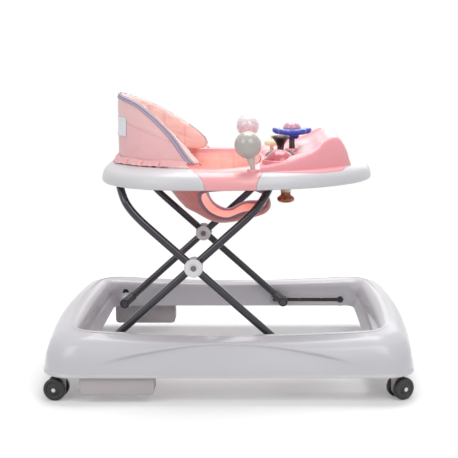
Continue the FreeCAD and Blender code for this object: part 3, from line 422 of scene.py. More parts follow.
def stitches_tree():
    """A row of short raised threads along a line of points."""
    tree, given, out = new_geometry_tree("stitches", [
        ("Spacing", "Float", 0.006), ("Length", "Float", 0.0038), ("Thread", "Float", 0.0006),
        ("Seed", "Int", 4), ("Material", "Material", None)])
    if given is None:
        return tree
    line = put(tree, "GeometryNodeMeshToCurve", {"Mesh": given.outputs["Geometry"]})
    spots = put(tree, "GeometryNodeCurveToPoints", {"Curve": line.outputs["Curve"],
                                                    "Length": given.outputs["Spacing"]}, mode="LENGTH")
    thread = put(tree, "GeometryNodeMeshUVSphere", {"Segments": 6, "Rings": 5,
                                                    "Radius": given.outputs["Thread"]})
    shift = put(tree, "FunctionNodeRandomValue", {"Seed": given.outputs["Seed"]}, data_type="FLOAT")
    shift.inputs[2].default_value = 0.9
    shift.inputs[3].default_value = 1.1
    ratio = maths(tree, "DIVIDE", given.outputs["Length"], given.outputs["Thread"])
    half = maths(tree, "MULTIPLY", maths(tree, "MULTIPLY", ratio, 0.5), shift.outputs[1])
    scale = put(tree, "ShaderNodeCombineXYZ", {"X": 1.0, "Y": 1.0, "Z": half})
    laid = put(tree, "GeometryNodeInstanceOnPoints", {"Points": spots.outputs["Points"],
                                                      "Instance": thread.outputs["Mesh"],
                                                      "Rotation": spots.outputs["Rotation"],
                                                      "Scale": scale.outputs["Vector"]})
    finish_tree(tree, given, out, laid.outputs["Instances"])
    return tree


def ribs_tree():
    """Copies of a small moulded rib at the points of a mesh, turned the way their normals say."""
    tree, given, out = new_geometry_tree("ribs", [
        ("Width", "Float", 0.002), ("Depth", "Float", 0.01), ("Height", "Float", 0.02),
        ("Material", "Material", None)])
    if given is None:
        return tree
    extent = put(tree, "ShaderNodeCombineXYZ", {"X": given.outputs["Width"], "Y": given.outputs["Depth"],
                                                "Z": given.outputs["Height"]})
    block = put(tree, "GeometryNodeMeshCube", {"Size": extent.outputs["Vector"]})
    facing = put(tree, "GeometryNodeInputNamedAttribute", {"Name": "facing"}, data_type="FLOAT_VECTOR")
    laid = put(tree, "GeometryNodeInstanceOnPoints", {"Points": given.outputs["Geometry"],
                                                      "Instance": block.outputs["Mesh"],
                                                      "Rotation": facing.outputs["Attribute"]})
    finish_tree(tree, given, out, laid.outputs["Instances"])
    return tree


def grown(name, mesh, tree, material, **values):
    """A plain mesh object made by a Geometry Nodes tree from a starting mesh."""
    seed = bpy.data.objects.new(name + "_start", mesh)
    bpy.context.scene.collection.objects.link(seed)
    modifier = seed.modifiers.new("nodes", "NODES")
    modifier.node_group = tree
    wanted = dict(values, Material=material)
    for item in tree.interface.items_tree:
        if item.in_out == "INPUT" and item.name in wanted:
            modifier[item.identifier] = wanted[item.name]
    made = bpy.data.meshes.new_from_object(seed.evaluated_get(bpy.context.evaluated_depsgraph_get()))
    bpy.data.objects.remove(seed)
    piece = bpy.data.objects.new(name, made)
    bpy.context.scene.collection.objects.link(piece)
    if not made.materials:
        made.materials.append(material)
    return piece


def line_mesh(name, lines):
    """A mesh of bare edges through lists of points in millimetres; a closed line repeats its first."""
    points, edges = [], []
    for line in lines:
        closed = len(line) > 2 and np.allclose(line[0], line[-1])
        start, body = len(points), line[:-1] if closed else line
        points += [[c * MM for c in p] for p in body]
        edges += [(start + i, start + i + 1) for i in range(len(body) - 1)]
        if closed:
            edges.append((start + len(body) - 1, start))
    mesh = bpy.data.meshes.new(name)
    mesh.from_pydata(points, edges, [])
    return mesh


def tubes(name, lines, material, radius, around):
    """Round tubes along lines of points in millimetres; the radius is in metres."""
    return grown(name, line_mesh(name + "_line", lines), tube_tree(), material, Radius=radius, Around=around)


# ---------------------------------------------------------------- mesh helpers
def made_piece(name, mesh, material=None):
    piece = bpy.data.objects.new(name, mesh)
    bpy.context.scene.collection.objects.link(piece)
    for item in ([material] if isinstance(material, bpy.types.Material) else material or []):
        mesh.materials.append(item)
    return piece


def sharpened(piece, angle):
    """Shade smoothly up to an angle in degrees."""
    piece.data.shade_smooth()
    piece.data.set_sharp_from_angle(angle=math.radians(angle))
    return piece


def filled(piece, wanted=lambda edge: True, outward=True):
    """Fill the holes of a mesh whose boundary edges are wanted."""
    work = bmesh.new()
    work.from_mesh(piece.data)
    edges = [e for e in work.edges if e.is_boundary and wanted(e)]
    if edges:
        bmesh.ops.holes_fill(work, edges=edges)
    if outward:
        bmesh.ops.recalc_face_normals(work, faces=work.faces)
    work.to_mesh(piece.data)
    work.free()
    return piece


def tidy(mesh, outward=True, crease=None):
    """Merge doubles, point faces outwards and shade smoothly up to the crease angle."""
    work = bmesh.new()
    work.from_mesh(mesh)
    bmesh.ops.remove_doubles(work, verts=work.verts, dist=2e-6)
    bmesh.ops.dissolve_degenerate(work, edges=work.edges, dist=1e-6)
    if outward:
        bmesh.ops.recalc_face_normals(work, faces=work.faces)
    work.to_mesh(mesh)
    work.free()
    mesh.shade_smooth()
    if crease:
        mesh.set_sharp_from_angle(angle=math.radians(crease))


def grid(name, rows, material, across=False, along=False, caps=False, crease=40, outward=True):
    """A surface through rows of points in millimetres; across or along says which way it closes."""
    rows = np.asarray(rows, float)
    high, wide = rows.shape[:2]
    faces = []
    for v in range(high if across else high - 1):
        for u in range(wide if along else wide - 1):
            w, x = (v + 1) % high, (u + 1) % wide
            faces.append((v * wide + u, v * wide + x, w * wide + x, w * wide + u))
    if caps:
        faces.append([v * wide for v in range(high)])
        faces.append([v * wide + wide - 1 for v in reversed(range(high))])
    mesh = bpy.data.meshes.new(name)
    mesh.from_pydata((rows.reshape(-1, 3) * MM).tolist(), [], faces)
    tidy(mesh, outward, crease)
    return made_piece(name, mesh, material)


def applied(piece):
    """The piece with its modifiers turned into its mesh."""
    made = bpy.data.meshes.new_from_object(
        piece.evaluated_get(bpy.context.evaluated_depsgraph_get()), depsgraph=None)
    old = piece.data
    piece.modifiers.clear()
    piece.data = made
    bpy.data.meshes.remove(old)
    return piece


def thick(piece, depth, side=-1.0, inside=0, even=True):
    """Give a surface a wall, on the side its faces look away from."""
    modifier = piece.modifiers.new("wall", "SOLIDIFY")
    modifier.thickness = depth
    modifier.offset = side
    modifier.use_even_offset = even
    modifier.material_offset = inside
    modifier.thickness_clamp = 1.0
    return applied(piece)


def rounded(piece, width, steps=2, angle=35):
    modifier = piece.modifiers.new("round", "BEVEL")
    modifier.width = width
    modifier.segments = steps
    modifier.limit_method = "ANGLE"
    modifier.angle_limit = math.radians(angle)
    modifier.harden_normals = False
    return applied(piece)


def finer(piece, levels=1):
    modifier = piece.modifiers.new("finer", "SUBSURF")
    modifier.levels = levels
    modifier.render_levels = levels
    return applied(piece)


def without(piece, cutters):
    """Cut closed shapes out of a closed piece."""
    for cutter in cutters:
        modifier = piece.modifiers.new("cut", "BOOLEAN")
        modifier.object = cutter
        modifier.solver = "EXACT"
    applied(piece)
    for cutter in cutters:
        bpy.data.objects.remove(cutter)
    return piece


def joined(name, pieces):
    """Several pieces as one object that keeps their materials."""
    work, materials = bmesh.new(), []
    for piece in pieces:
        start = len(work.faces)
        work.from_mesh(piece.data)
        work.faces.ensure_lookup_table()
        table = []
        for material in piece.data.materials:
            if material not in materials:
                materials.append(material)
            table.append(materials.index(material))
        for face in work.faces[start:]:
            face.material_index = table[face.material_index] if table else 0
    mesh = bpy.data.meshes.new(name)
    work.to_mesh(mesh)
    work.free()
    for piece in pieces:
        bpy.data.objects.remove(piece)
    return made_piece(name, mesh, materials)


def revolve(name, profile, material, steps=64, crease=35, closed=False):
    """A turned shape about the vertical axis from (radius, height) points in millimetres."""
    rows = []
    for radius, height in profile:
        rows.append([(radius * math.cos(2 * math.pi * i / steps),
                      radius * math.sin(2 * math.pi * i / steps), height) for i in range(steps)])
    return grid(name, rows, material, across=closed, along=True, crease=crease)


def shift(piece, x=0.0, y=0.0, z=0.0, turn=None):
    """Turn a piece's mesh by a matrix, then move it by millimetres."""
    if turn is not None:
        piece.data.transform(turn)
    piece.data.transform(Matrix.Translation((x * MM, y * MM, z * MM)))
    return piece


def turned(angle, axis):
    return Matrix.Rotation(math.radians(angle), 4, axis)


def smooth_line(points, count=8):
    """A smooth line through corner points of any dimension, count steps between each pair."""
    points = [np.asarray(p, float) for p in points]
    padded = [2 * points[0] - points[1]] + points + [2 * points[-1] - points[-2]]
    line = []
    for a, b, c, d in zip(padded, padded[1:], padded[2:], padded[3:]):
        for i in range(count):
            t = i / count
            line.append(0.5 * (2 * b + (c - a) * t + (2 * a - 5 * b + 4 * c - d) * t ** 2
                               + (3 * b - a - 3 * c + d) * t ** 3))
    line.append(points[-1])
    return line


def curve(points, count):
    """A smooth line as a list of tuples."""
    return [tuple(p) for p in smooth_line(points, count)]


def between(points, at):
    """The value of a line of (place, value) points at one place or an array of places, eased."""
    places, values = zip(*points)
    places, values = np.array(places, float), np.array(values, float)
    step = np.diff(values) / np.diff(places)
    slope = np.concatenate([[step[0]], np.zeros(len(step) - 1), [step[-1]]])
    for i in range(1, len(step)):
        if step[i - 1] * step[i] > 0:
            slope[i] = 2 * step[i - 1] * step[i] / (step[i - 1] + step[i])
    at = np.clip(np.asarray(at, float), places[0], places[-1])
    k = np.clip(np.searchsorted(places, at, side="right") - 1, 0, len(step) - 1)
    h = places[k + 1] - places[k]
    t = (at - places[k]) / h
    return ((1 + 2 * t) * (1 - t) ** 2 * values[k] + t * (1 - t) ** 2 * h * slope[k]
            + t * t * (3 - 2 * t) * values[k + 1] + t * t * (t - 1) * h * slope[k + 1])


def ease(low, high, at):
    t = np.clip((np.asarray(at, float) - low) / (high - low), 0, 1)
    return t * t * (3 - 2 * t)


def refined(node, material, body, slot, width=0.4 * MM, angle=35):
    """A smooth-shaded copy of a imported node, with its hard edges slightly rounded."""
    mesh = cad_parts[node].data.copy()
    mesh.name = "fine_" + node
    mesh.materials.clear()
    tidy(mesh, outward=False)
    piece = made_piece("fine_" + node, mesh, material)
    work = bmesh.new()
    work.from_mesh(mesh)
    bmesh.ops.dissolve_limit(work, angle_limit=math.radians(0.5), verts=work.verts, edges=work.edges)
    work.to_mesh(mesh)
    work.free()
    if width:
        modifier = piece.modifiers.new("round", "BEVEL")
        modifier.width = width
        modifier.segments = 2
        modifier.limit_method = "ANGLE"
        modifier.angle_limit = math.radians(angle)
        modifier.use_clamp_overlap = True
        applied(piece)
    return settle(sharpened(piece, angle), body, slot, node)


def settle(piece, body, slot, *nodes):
    """Put a finished piece on its body and hide the imported nodes it replaces; the slot is not used."""
    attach(piece, body)
    if nodes:
        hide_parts(*nodes)
    return piece


def middle(node):
    low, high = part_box(node)
    return (low + high) / 2 / MM


# ---------------------------------------------------------------- outlines
def egg(turn, mid_x, rear, front, half_y, rear_power, front_power):
    """Points of a superellipse whose rear and front halves differ, at turns in radians."""
    turn = np.asarray(turn, float)
    cos, sin = np.cos(turn), np.sin(turn)
    reach = np.where(cos >= 0, front, rear)
    power = np.where(cos >= 0, front_power, rear_power)
    x = mid_x + reach * np.sign(cos) * np.abs(cos) ** (2 / power)
    y = half_y * np.sign(sin) * np.abs(sin) ** (2 / power)
    return x, y


TRAY_MID_X, TRAY_REAR, TRAY_FRONT, TRAY_HALF_Y = -30.0, 226.0, 314.0, 247.0
HOLE_MID_X, HOLE_REAR, HOLE_FRONT, HOLE_HALF_Y = -45.0, 140.0, 105.0, 195.0
REAR_POWER, FRONT_POWER, HOLE_POWER = 2.8, 2.2, 2.5


def tray_outline(turn, inset):
    return egg(turn, TRAY_MID_X, TRAY_REAR - inset, TRAY_FRONT - inset, TRAY_HALF_Y - inset,
               REAR_POWER, FRONT_POWER)


def hole_outline(turn, grow):
    return egg(turn, HOLE_MID_X, HOLE_REAR + grow, HOLE_FRONT + grow, HOLE_HALF_Y + grow,
               HOLE_POWER, HOLE_POWER)


def turn_at_x(place, mid_x, rear, front, rear_power, front_power):
    """The turn at which a superellipse passes an X, on the +Y side."""
    if place >= mid_x:
        return math.acos(min(1.0, ((place - mid_x) / front)) ** (front_power / 2))
    return math.pi - math.acos(min(1.0, ((mid_x - place) / rear)) ** (rear_power / 2))


# inset from the tray's edge and height of its top, from the bottom edge to the crown
TRAY_TOP = ((0.0, 400.0), (2.0, 408.0), (6.0, 415.5), (13.0, 421.0), (24.0, 425.5), (38.0, 428.2),
            (50.0, 429.0))


def tray_inset(x, y):
    """How far inside the tray's edge each point lies, in millimetres."""
    x, y = np.asarray(x, float), np.abs(np.asarray(y, float))
    low, high = np.zeros(x.shape), np.full(x.shape, 200.0)
    for _ in range(24):
        mid = (low + high) / 2
        reach = np.where(x >= TRAY_MID_X, TRAY_FRONT, TRAY_REAR) - mid
        power = np.where(x >= TRAY_MID_X, FRONT_POWER, REAR_POWER)
        inside = ((np.abs(x - TRAY_MID_X) / reach) ** power
                  + (y / (TRAY_HALF_Y - mid)) ** power) < 1
        low, high = np.where(inside, mid, low), np.where(inside, high, mid)
    return (low + high) / 2


def tray_height(x, y):
    return between(TRAY_TOP, tray_inset(x, y))


# ---------------------------------------------------------------- base
BASE_HALF_X, BASE_HALF_Y, BASE_BOTTOM, BASE_TOP, SADDLE = 363.0, 292.0, 52.0, 135.0, 16.0
INNER_X, INNER_Y, INNER_BOTTOM = 286.0, 214.0, 66.0
BASE_WALL_LINE = ((0.0, 0.0), (0.35, 3.0), (0.68, 12.0), (0.88, 26.0), (1.0, 46.0))
RAIL_DROP = ((0.0, 0.0), (0.3, 0.4), (0.62, 1.8), (0.85, 5.0), (0.97, 10.0), (1.0, 15.0))
END_DROP = ((0.0, 0.0), (0.25, 1.4), (0.5, 5.0), (0.72, 12.0), (0.88, 22.0), (1.0, 34.0))
COLUMNS = (16, 16, 64)


def bowed(half_x, half_y, bow, corner):
    """Points of a rounded rectangle with bowed ends, the same count for every size."""
    end_r = (half_y ** 2 + bow ** 2) / (2 * bow)
    end_x = half_x - end_r
    side_y = half_y - corner
    side_x = end_x + math.sqrt((end_r - corner) ** 2 - side_y ** 2)
    away = math.atan2(side_y, side_x - end_x)
    ends, corners, sides = COLUMNS
    quarter = [(end_x + end_r * math.cos(away * i / ends), end_r * math.sin(away * i / ends))
               for i in range(ends)]
    for i in range(corners):
        a = away + (math.pi / 2 - away) * i / corners
        quarter.append((side_x + corner * math.cos(a), side_y + corner * math.sin(a)))
    quarter += [(side_x * (1 - i / sides), half_y) for i in range(sides + 1)]
    loop = quarter + [(-x, y) for x, y in reversed(quarter[:-1])]
    loop += [(-x, -y) for x, y in quarter[1:]] + [(x, -y) for x, y in reversed(quarter[1:-1])]
    return np.array(loop)


def end_share():
    """1 on the columns of the two ends, 0 on the sides, eased round the corners."""
    ends, corners, sides = COLUMNS
    quarter = [1.0] * ends + [float(1 - ease(0, 1, i / corners)) for i in range(corners)]
    quarter += [0.0] * (sides + 1)
    return np.array(quarter + quarter[:-1][::-1] + quarter[1:] + quarter[1:-1][::-1])


def saddle(x):
    return BASE_TOP - SADDLE * (1 - (np.asarray(x) / BASE_HALF_X) ** 2)


def base_rows():
    """Rows of the base ring's skin, from the lip up, over the top and down the inner wall."""
    given = settings("base")
    ends, rows = end_share(), []
    outer_top = bowed(BASE_HALF_X - 46, BASE_HALF_Y - 46, 20, 62)
    inner = bowed(INNER_X, INNER_Y, 6, 30)
    lip = given.lip / MM
    for share in list(np.linspace(0, 0.08, 5)) + list(np.linspace(0.1, 1.0, 42)):
        step = float(between(BASE_WALL_LINE, share)) + lip * float(ease(0.035, 0.075, share))
        loop = bowed(BASE_HALF_X - step, BASE_HALF_Y - step, 20, 62)
        z = BASE_BOTTOM + share * (saddle(loop[:, 0]) - BASE_BOTTOM)
        arch = 111.0 - 35 * (loop[:, 0] / 250) ** 2
        depth = given.arch_step / MM * ease(0, 6, arch - z) * ease(BASE_BOTTOM + 2, BASE_BOTTOM + 40, z)
        depth = depth * (1 - ease(0.0, 0.35, ends)) * (1 - ease(180, 262, np.abs(loop[:, 0])))
        y = loop[:, 1] - np.sign(loop[:, 1]) * depth
        rows.append(np.stack([loop[:, 0], y, z], 1))
    for share in np.linspace(0.04, 1.0, 22):
        loop = outer_top * (1 - share) + inner * share
        drop = float(between(RAIL_DROP, share)) * (1 - ends) + float(between(END_DROP, share)) * ends
        rows.append(np.stack([loop[:, 0], loop[:, 1], saddle(loop[:, 0]) - drop], 1))
    top = rows[-1][:, 2]
    for share in np.linspace(0.08, 1.0, 14):
        z = top + (INNER_BOTTOM - top) * share
        fold = 2.2 * np.exp(-((z - 92) / 5.0) ** 2) * ends
        lean = 13.0 * share ** 1.4 * ends * (1 - 0.4 * (inner[:, 1] / INNER_Y) ** 2)
        x = inner[:, 0] + np.sign(inner[:, 0]) * (fold - lean)
        rows.append(np.stack([x, inner[:, 1], z], 1))
    return rows


def stadium(rear, front, half, z, y, steps=10):
    """A closed slot outline in the XZ plane."""
    points = [(front + half * math.cos(a), y, z + half * math.sin(a))
              for a in np.linspace(-math.pi / 2, math.pi / 2, steps)]
    points += [(rear + half * math.cos(a), y, z + half * math.sin(a))
               for a in np.linspace(math.pi / 2, 3 * math.pi / 2, steps)]
    return points + points[:1]


def keyhole_line(rear, front, z, half, wide):
    """The closed outline round a slot that ends in a round entry."""
    turn = math.pi - math.asin(half / wide)
    points = [(front + wide * math.cos(a), z + wide * math.sin(a)) for a in np.linspace(-turn, turn, 32)]
    points += [(rear + half * math.cos(a), z + half * math.sin(a))
               for a in np.linspace(math.pi / 2, 3 * math.pi / 2, 12)]
    return points + points[:1]


def prism_y(name, outline, y0, y1):
    return grid(name, [[(x, y, z) for x, _, z in outline[:-1]] for y in (y0, y1)], None,
                along=True, crease=None)


def closed_prism(name, outline, y0, y1):
    return filled(prism_y(name, outline, y0, y1))


class WALKER_OT_base_ring(bpy.types.Operator):
    """Build the moulded base ring, its slots and their rims, with dark plates behind the openings as painted shade"""
    bl_idname = "walker.base_ring"
    bl_label = "Base ring"

    def execute(self, context):
        given = settings("base")
        finish = plastic("base_shell", given.shell, roughness=0.3, coat=0.3, dust=0.1, wear=0.1)
        shell = grid("base_ring", base_rows(), finish, along=True, crease=None, outward=False)
        first = shell.data.polygons[0]
        if first.normal.dot(first.center) <= 0:
            shell.data.flip_normals()
        thick(shell, 3 * MM, even=False)
        cutters, rims = [], []
        for side in (-1, 1):
            low, high = sorted((side * (INNER_Y - 3), side * (INNER_Y + 8)))
            slot = stadium(92.35, 238, 4.35, 80, 0)
            cutters.append(closed_prism("slot", slot, low, high))
            cutters.append(closed_prism("entry", stadium(243, 243.01, 8, 80, 0), low, high))
            cutters.append(closed_prism("keyhole", stadium(-247, -246.99, 7, 98, 0), low, high))
            face = side * (INNER_Y - 0.4)
            rims.append([(x, face, z) for x, z in keyhole_line(90, 243, 80, 8.8, 13.4)])
        without(shell, cutters)
        sharpened(shell, 42)
        bosses = []
        for side in (-1, 1):
            boss = revolve("boss", ((0, 0), (10.5, 0), (12, 1.5), (12, 17.6), (15.6, 18.4), (16.4, 19.4),
                                    (16.4, 22)), finish)
            bosses.append(shift(boss, -245, side * 192.7, 80, turned(-90 * side, "X")))
            for x in (-314, 314):
                post = revolve("post", ((7, 52.5), (12, 52.5), (12, 100), (7, 100)), finish, steps=32)
                bosses.append(shift(post, x, side * 252))
        ring = joined("base_ring_shell", [shell] + bosses)
        settle(ring, "base", "base_shell", "base_frame")
        # Dark plates inside the rail behind each slot and keyhole: painted shade on the rail's inside, seen through
        # the openings.
        dark = plastic("slot_brown", srgb(88, 72, 70), roughness=0.5, coat=0.0, grain=0.05)
        shadow_plates = []
        for side in (-1, 1):
            for rear, front, half, z in ((82, 252, 13, 78), (-257, -237, 13, 98)):
                low, high = sorted((side * 233.0, side * 234.5))
                shadow_plates.append(closed_prism("shadow_plate", stadium(rear + half, front - half, half, z, 0)
                                           if front - rear > 2 * half else
                                           stadium(-247.01, -247, half, z, 0), low, high))
                shadow_plates[-1].data.materials.append(dark)
        settle(joined("slot_shadow_plates", shadow_plates), "base", "black_cap")
        settle(tubes("slot_rims", rims, finish, 1.3 * MM, 10), "base", "base_shell")
        self.inner_ribs(finish)
        return {"FINISHED"}

    def inner_ribs(self, finish):
        """Stiffening ribs under the rails, one row for each side."""
        points, turns = [], []
        for x in range(-250, 251, 50):
            for side in (-1, 1):
                if side * x > -290 and not -285 < x < -120:
                    points.append((x * MM, side * 240 * MM, 92 * MM))
                    turns.append((0.0, 0.0, 0.0))
        for y in range(-200, 201, 50):
            for end in (-1, 1):
                points.append((end * 308 * MM, y * MM, 96 * MM))
                turns.append((0.0, 0.0, math.pi / 2))
        mesh = bpy.data.meshes.new("rib_points")
        mesh.from_pydata(points, [], [])
        facing = mesh.attributes.new("facing", "FLOAT_VECTOR", "POINT")
        facing.data.foreach_set("vector", np.array(turns, np.float32).ravel())
        ribs = grown("base_ribs", mesh, ribs_tree(), finish, Width=1.8 * MM, Depth=40 * MM,
                     Height=22 * MM)
        settle(ribs, "base", "base_shell")


class WALKER_OT_stoppers(bpy.types.Operator):
    """Build the two stopper blocks under the rear of the base"""
    bl_idname = "walker.stoppers"
    bl_label = "Stopper blocks"

    def execute(self, context):
        finish = plastic("stopper_rubber", settings("base").stopper, roughness=0.5, coat=0.0,
                         grain=0.12, dust=0.1, fineness=1300.0)
        blocks = []
        for side in (-1, 1):
            outline = [(-275, 65.7), (-275, 25), (-272.7, 19.3), (-267, 17), (-145, 17),
                       (-139.3, 19.3), (-137, 25), (-137, 65.7)]
            rows = [[(x, side * y, z) for x, z in outline] for y in (245, 285)]
            block = filled(grid("block", rows, finish, along=True, crease=None))
            rounded(block, 2.2 * MM, 3, 50)
            top = grid("top", [[(x, side * y, z) for x, y in ((-274, 246), (-138, 246),
                                (-138, 274), (-274, 274))] for z in (64, 91.6)], finish,
                       along=True, crease=30)
            wells = [shift(revolve("well", ((0, 0), (5, 0), (5, 62), (0, 62)), None, steps=32),
                           x, side * 260, 15.9) for x in (-241, -171)]
            blocks += [without(block, wells), top]
        piece = joined("stopper_blocks", blocks)
        sharpened(piece, 40)
        settle(piece, "base", "stopper_rubber", "stopper_pads")
        steel = metal("zinc_steel", settings("legs").steel)
        refined("stopper_screws", steel, "base", "zinc_steel")
        refined("caster_sleeves", plastic("black_cap", settings("legs").cap, roughness=0.35),
                "base", "black_cap")
        return {"FINISHED"}


# trail of each caster, in degrees
CASTER_TURNS = {"rear_right": 172.0, "rear_left": 188.0, "front_right": 28.0, "front_left": -12.0}


class WALKER_OT_casters(bpy.types.Operator):
    """Build the four twin-wheel casters"""
    bl_idname = "walker.casters"
    bl_label = "Casters"

    def execute(self, context):
        given = settings("base")
        rubber = plastic("wheel_black", given.wheel, roughness=0.36, coat=0.15, grain=0.1, dust=0.06,
                         wear=0.15)
        housing = plastic("housing_plastic", given.housing, roughness=0.4, coat=0.1, grain=0.08)
        steel = metal("zinc_steel", settings("legs").steel)
        for corner, turn in CASTER_TURNS.items():
            body = "caster_" + corner
            refined("caster_housing_" + corner, housing, body, "housing_plastic", 1.2 * MM)
            refined("caster_pins_" + corner, steel, body, "zinc_steel")
            for place in ("outer", "inner"):
                self.wheel(corner, place, turn, rubber)
        return {"FINISHED"}

    def wheel(self, corner, place, turn, rubber):
        node = "wheel_" + corner + "_" + place
        profile = [(2.6, 0.2), (19.5, 0.0), (20.9, 0.5), (21.4, 1.7), (21.5, 5.2), (21.3, 7.2),
                   (20.4, 9.1), (18.6, 10.2), (16.4, 10.5), (14.9, 10.1), (14.2, 9.1), (13.2, 8.6),
                   (9.4, 8.7), (8.6, 9.6), (7.4, 10.3), (4.6, 10.5), (2.6, 10.5)]
        line = curve(profile, 3)
        wheel = revolve("turned_" + node, line, rubber, steps=72, crease=50, closed=True)
        wheel.data.transform(turned(-90, "X"))
        centre, stem = middle(node), middle("caster_pins_" + corner)
        axle = Vector((-math.sin(math.radians(turn)), math.cos(math.radians(turn)), 0))
        way = 1 if (centre - stem).dot(axle) > 0 else -1
        if way < 0:
            wheel.data.transform(turned(180, "Z"))
        wheel.data.transform(turned(turn, "Z"))
        near = centre - axle * way * 5.25
        shift(wheel, near.x, near.y, 21.5)
        settle(wheel, node, "wheel_black", node)


# ---------------------------------------------------------------- crossed legs
PIVOT, CROSS = (-245.0, 80.0), (-66.75, 241.0)
LEG_ANGLE = math.atan2(CROSS[1] - PIVOT[1], CROSS[0] - PIVOT[0])
LEG_LOWER = math.hypot(CROSS[1] - PIVOT[1], CROSS[0] - PIVOT[0])


SLIDE_TOP = ((-150.0, 200.0, 316.2), (-167.0, 199.6, 332.2), (-182.6, 197.4, 349.0), (-194.4, 192.0, 365.4),
             (-202.6, 178.6, 381.6), (-208.0, 164.0, 395.0), (-211.8, 147.0, 402.4), (-214.0, 130.0, 404.0))
PIVOT_TOP = ((18.0, 182.5, 317.5), (36.0, 182.2, 334.2), (52.0, 180.4, 350.8), (63.0, 175.4, 364.8),
             (72.0, 165.4, 378.6), (79.0, 151.0, 391.6), (84.0, 133.0, 401.4), (86.0, 112.0, 404.0))


def leg_line(forward, leg_y, top):
    """The centre line of a U-shaped leg frame, from the right foot over the bar to the left foot."""
    way = 1 if forward else -1
    low, start = ((CROSS[0] + way * reach * math.cos(LEG_ANGLE), leg_y, CROSS[1] + reach * math.sin(LEG_ANGLE))
                  for reach in (-LEG_LOWER - 5, 90))
    side = [low] + curve([start] + list(top), 6)
    return [(x, -y, z) for x, y, z in side] + [(x, y, z) for x, y, z in reversed(side)]


class WALKER_OT_legs(bpy.types.Operator):
    """Build the two crossed tube frames with their caps, pins and pivot discs"""
    bl_idname = "walker.legs"
    bl_label = "Crossed legs"

    def execute(self, context):
        given = settings("legs")
        paint = painted_steel("leg_tube", given.tube)
        cap = plastic("black_cap", given.cap, roughness=0.35, coat=0.1, grain=0.08, wear=0.3)
        disc = plastic("disc_plastic", given.disc, roughness=0.35, coat=0.15, grain=0.05)
        frames = (("pivot", True, 182.5, PIVOT_TOP), ("slide", False, 200.0, SLIDE_TOP))
        for name, *shape in frames:
            tube = tubes(name + "_tube", [leg_line(*shape)], paint, given.radius, 40)
            settle(tube, name + "_legs", "leg_tube", name + "_frame")
            refined(name + "_frame_caps", cap, name + "_legs", "black_cap", 0.9 * MM)
        dark = metal("blackened_steel", srgb(92, 90, 98))
        refined("pivot_pins", dark, "pivot_legs", "zinc_steel", 0.6 * MM)
        refined("slide_pins", dark, "slide_legs", "zinc_steel", 0.6 * MM)
        refined("cross_bolts", plastic("bolt_dark", srgb(104, 102, 108), roughness=0.3), "pivot_legs",
                "zinc_steel", 0.5 * MM)
        refined("cross_spacers", cap, "pivot_legs", "black_cap")
        self.discs(disc)
        return {"FINISHED"}

    def discs(self, disc):
        """Dished discs with a ribbed edge and a dark recess round the bolt."""
        for node, radius, face in (("cross_discs_outer", 17.5, 207.8), ("cross_discs_inner", 16.0, 175.0)):
            out = 1 if node.endswith("outer") else -1
            profile = [(5.6, 0.0), (radius - 0.5, 0.0), (radius, 0.7), (radius, 2.4), (radius - 0.7, 3.7),
                       (radius - 2.2, 4.2), (radius - 5.0, 4.3), (9.2, 3.9), (8.2, 3.0), (7.0, 2.6), (5.6, 2.5)]
            line = curve(profile, 2)
            pair = []
            for side in (-1, 1):
                dished = revolve("disc", line, disc, steps=72, crease=50, closed=True)
                for vertex in dished.data.vertices:
                    reach = math.hypot(vertex.co.x, vertex.co.y)
                    if reach > (radius - 0.8) * MM:
                        ripple = 0.22 * MM * math.cos(36 * math.atan2(vertex.co.y, vertex.co.x))
                        vertex.co.x *= (reach + ripple) / reach
                        vertex.co.y *= (reach + ripple) / reach
                pair.append(shift(dished, CROSS[0], side * face, CROSS[1], turned(-90 * side * out, "X")))
            settle(joined("dished_" + node, pair), "pivot_legs", "disc_plastic", node)


# ---------------------------------------------------------------- tray
# anchor (tray edge or hole edge), distance from it and height, round the wall's section
TRAY_SECTION = (
    ("o", 4.2, 393.3), ("o", 2.0, 393.3), ("o", 0.6, 394.3), ("o", 0.0, 396.5), ("o", 0.0, 400.0),
    ("o", 0.8, 404.0), ("o", 2.0, 408.0), ("o", 3.7, 412.0), ("o", 6.0, 415.5), ("o", 9.0, 418.5),
    ("o", 13.0, 421.0), ("o", 18.0, 423.6), ("o", 24.0, 425.5), ("o", 31.0, 427.1), ("o", 38.0, 428.2),
    ("o", 50.0, 429.0), ("h", 14.0, 429.0), ("h", 8.0, 429.0), ("h", 4.0, 428.6), ("h", 1.4, 427.4),
    ("h", 0.3, 425.6), ("h", 0.0, 423.0), ("h", 0.0, 410.0), ("h", 0.0, 397.0), ("h", 0.5, 395.4),
    ("h", 1.5, 395.0), ("h", 2.5, 395.4), ("h", 3.0, 397.0), ("h", 3.0, 410.0), ("h", 3.0, 422.5),
    ("h", 5.5, 425.4), ("h", 12.0, 426.0), ("o", 52.0, 426.0), ("o", 38.0, 425.2), ("o", 24.0, 422.5),
    ("o", 14.5, 418.4), ("o", 9.2, 414.0), ("o", 5.6, 408.0), ("o", 4.4, 400.0))
REAR_SEAM = ((390.0, -42.0), (408.0, -45.0), (418.0, -52.0), (426.0, -64.0), (432.0, -79.0))
FRONT_SEAM = ((390.0, 51.0), (408.0, 54.0), (420.0, 60.0), (432.0, 72.0))


def seam_turn(seam, anchor, distance, z, gap):
    x = float(between(seam, z)) + gap
    if anchor == "o":
        return turn_at_x(x, TRAY_MID_X, TRAY_REAR - distance, TRAY_FRONT - distance, REAR_POWER, FRONT_POWER)
    return turn_at_x(x, HOLE_MID_X, HOLE_REAR + distance, HOLE_FRONT + distance, HOLE_POWER, HOLE_POWER)


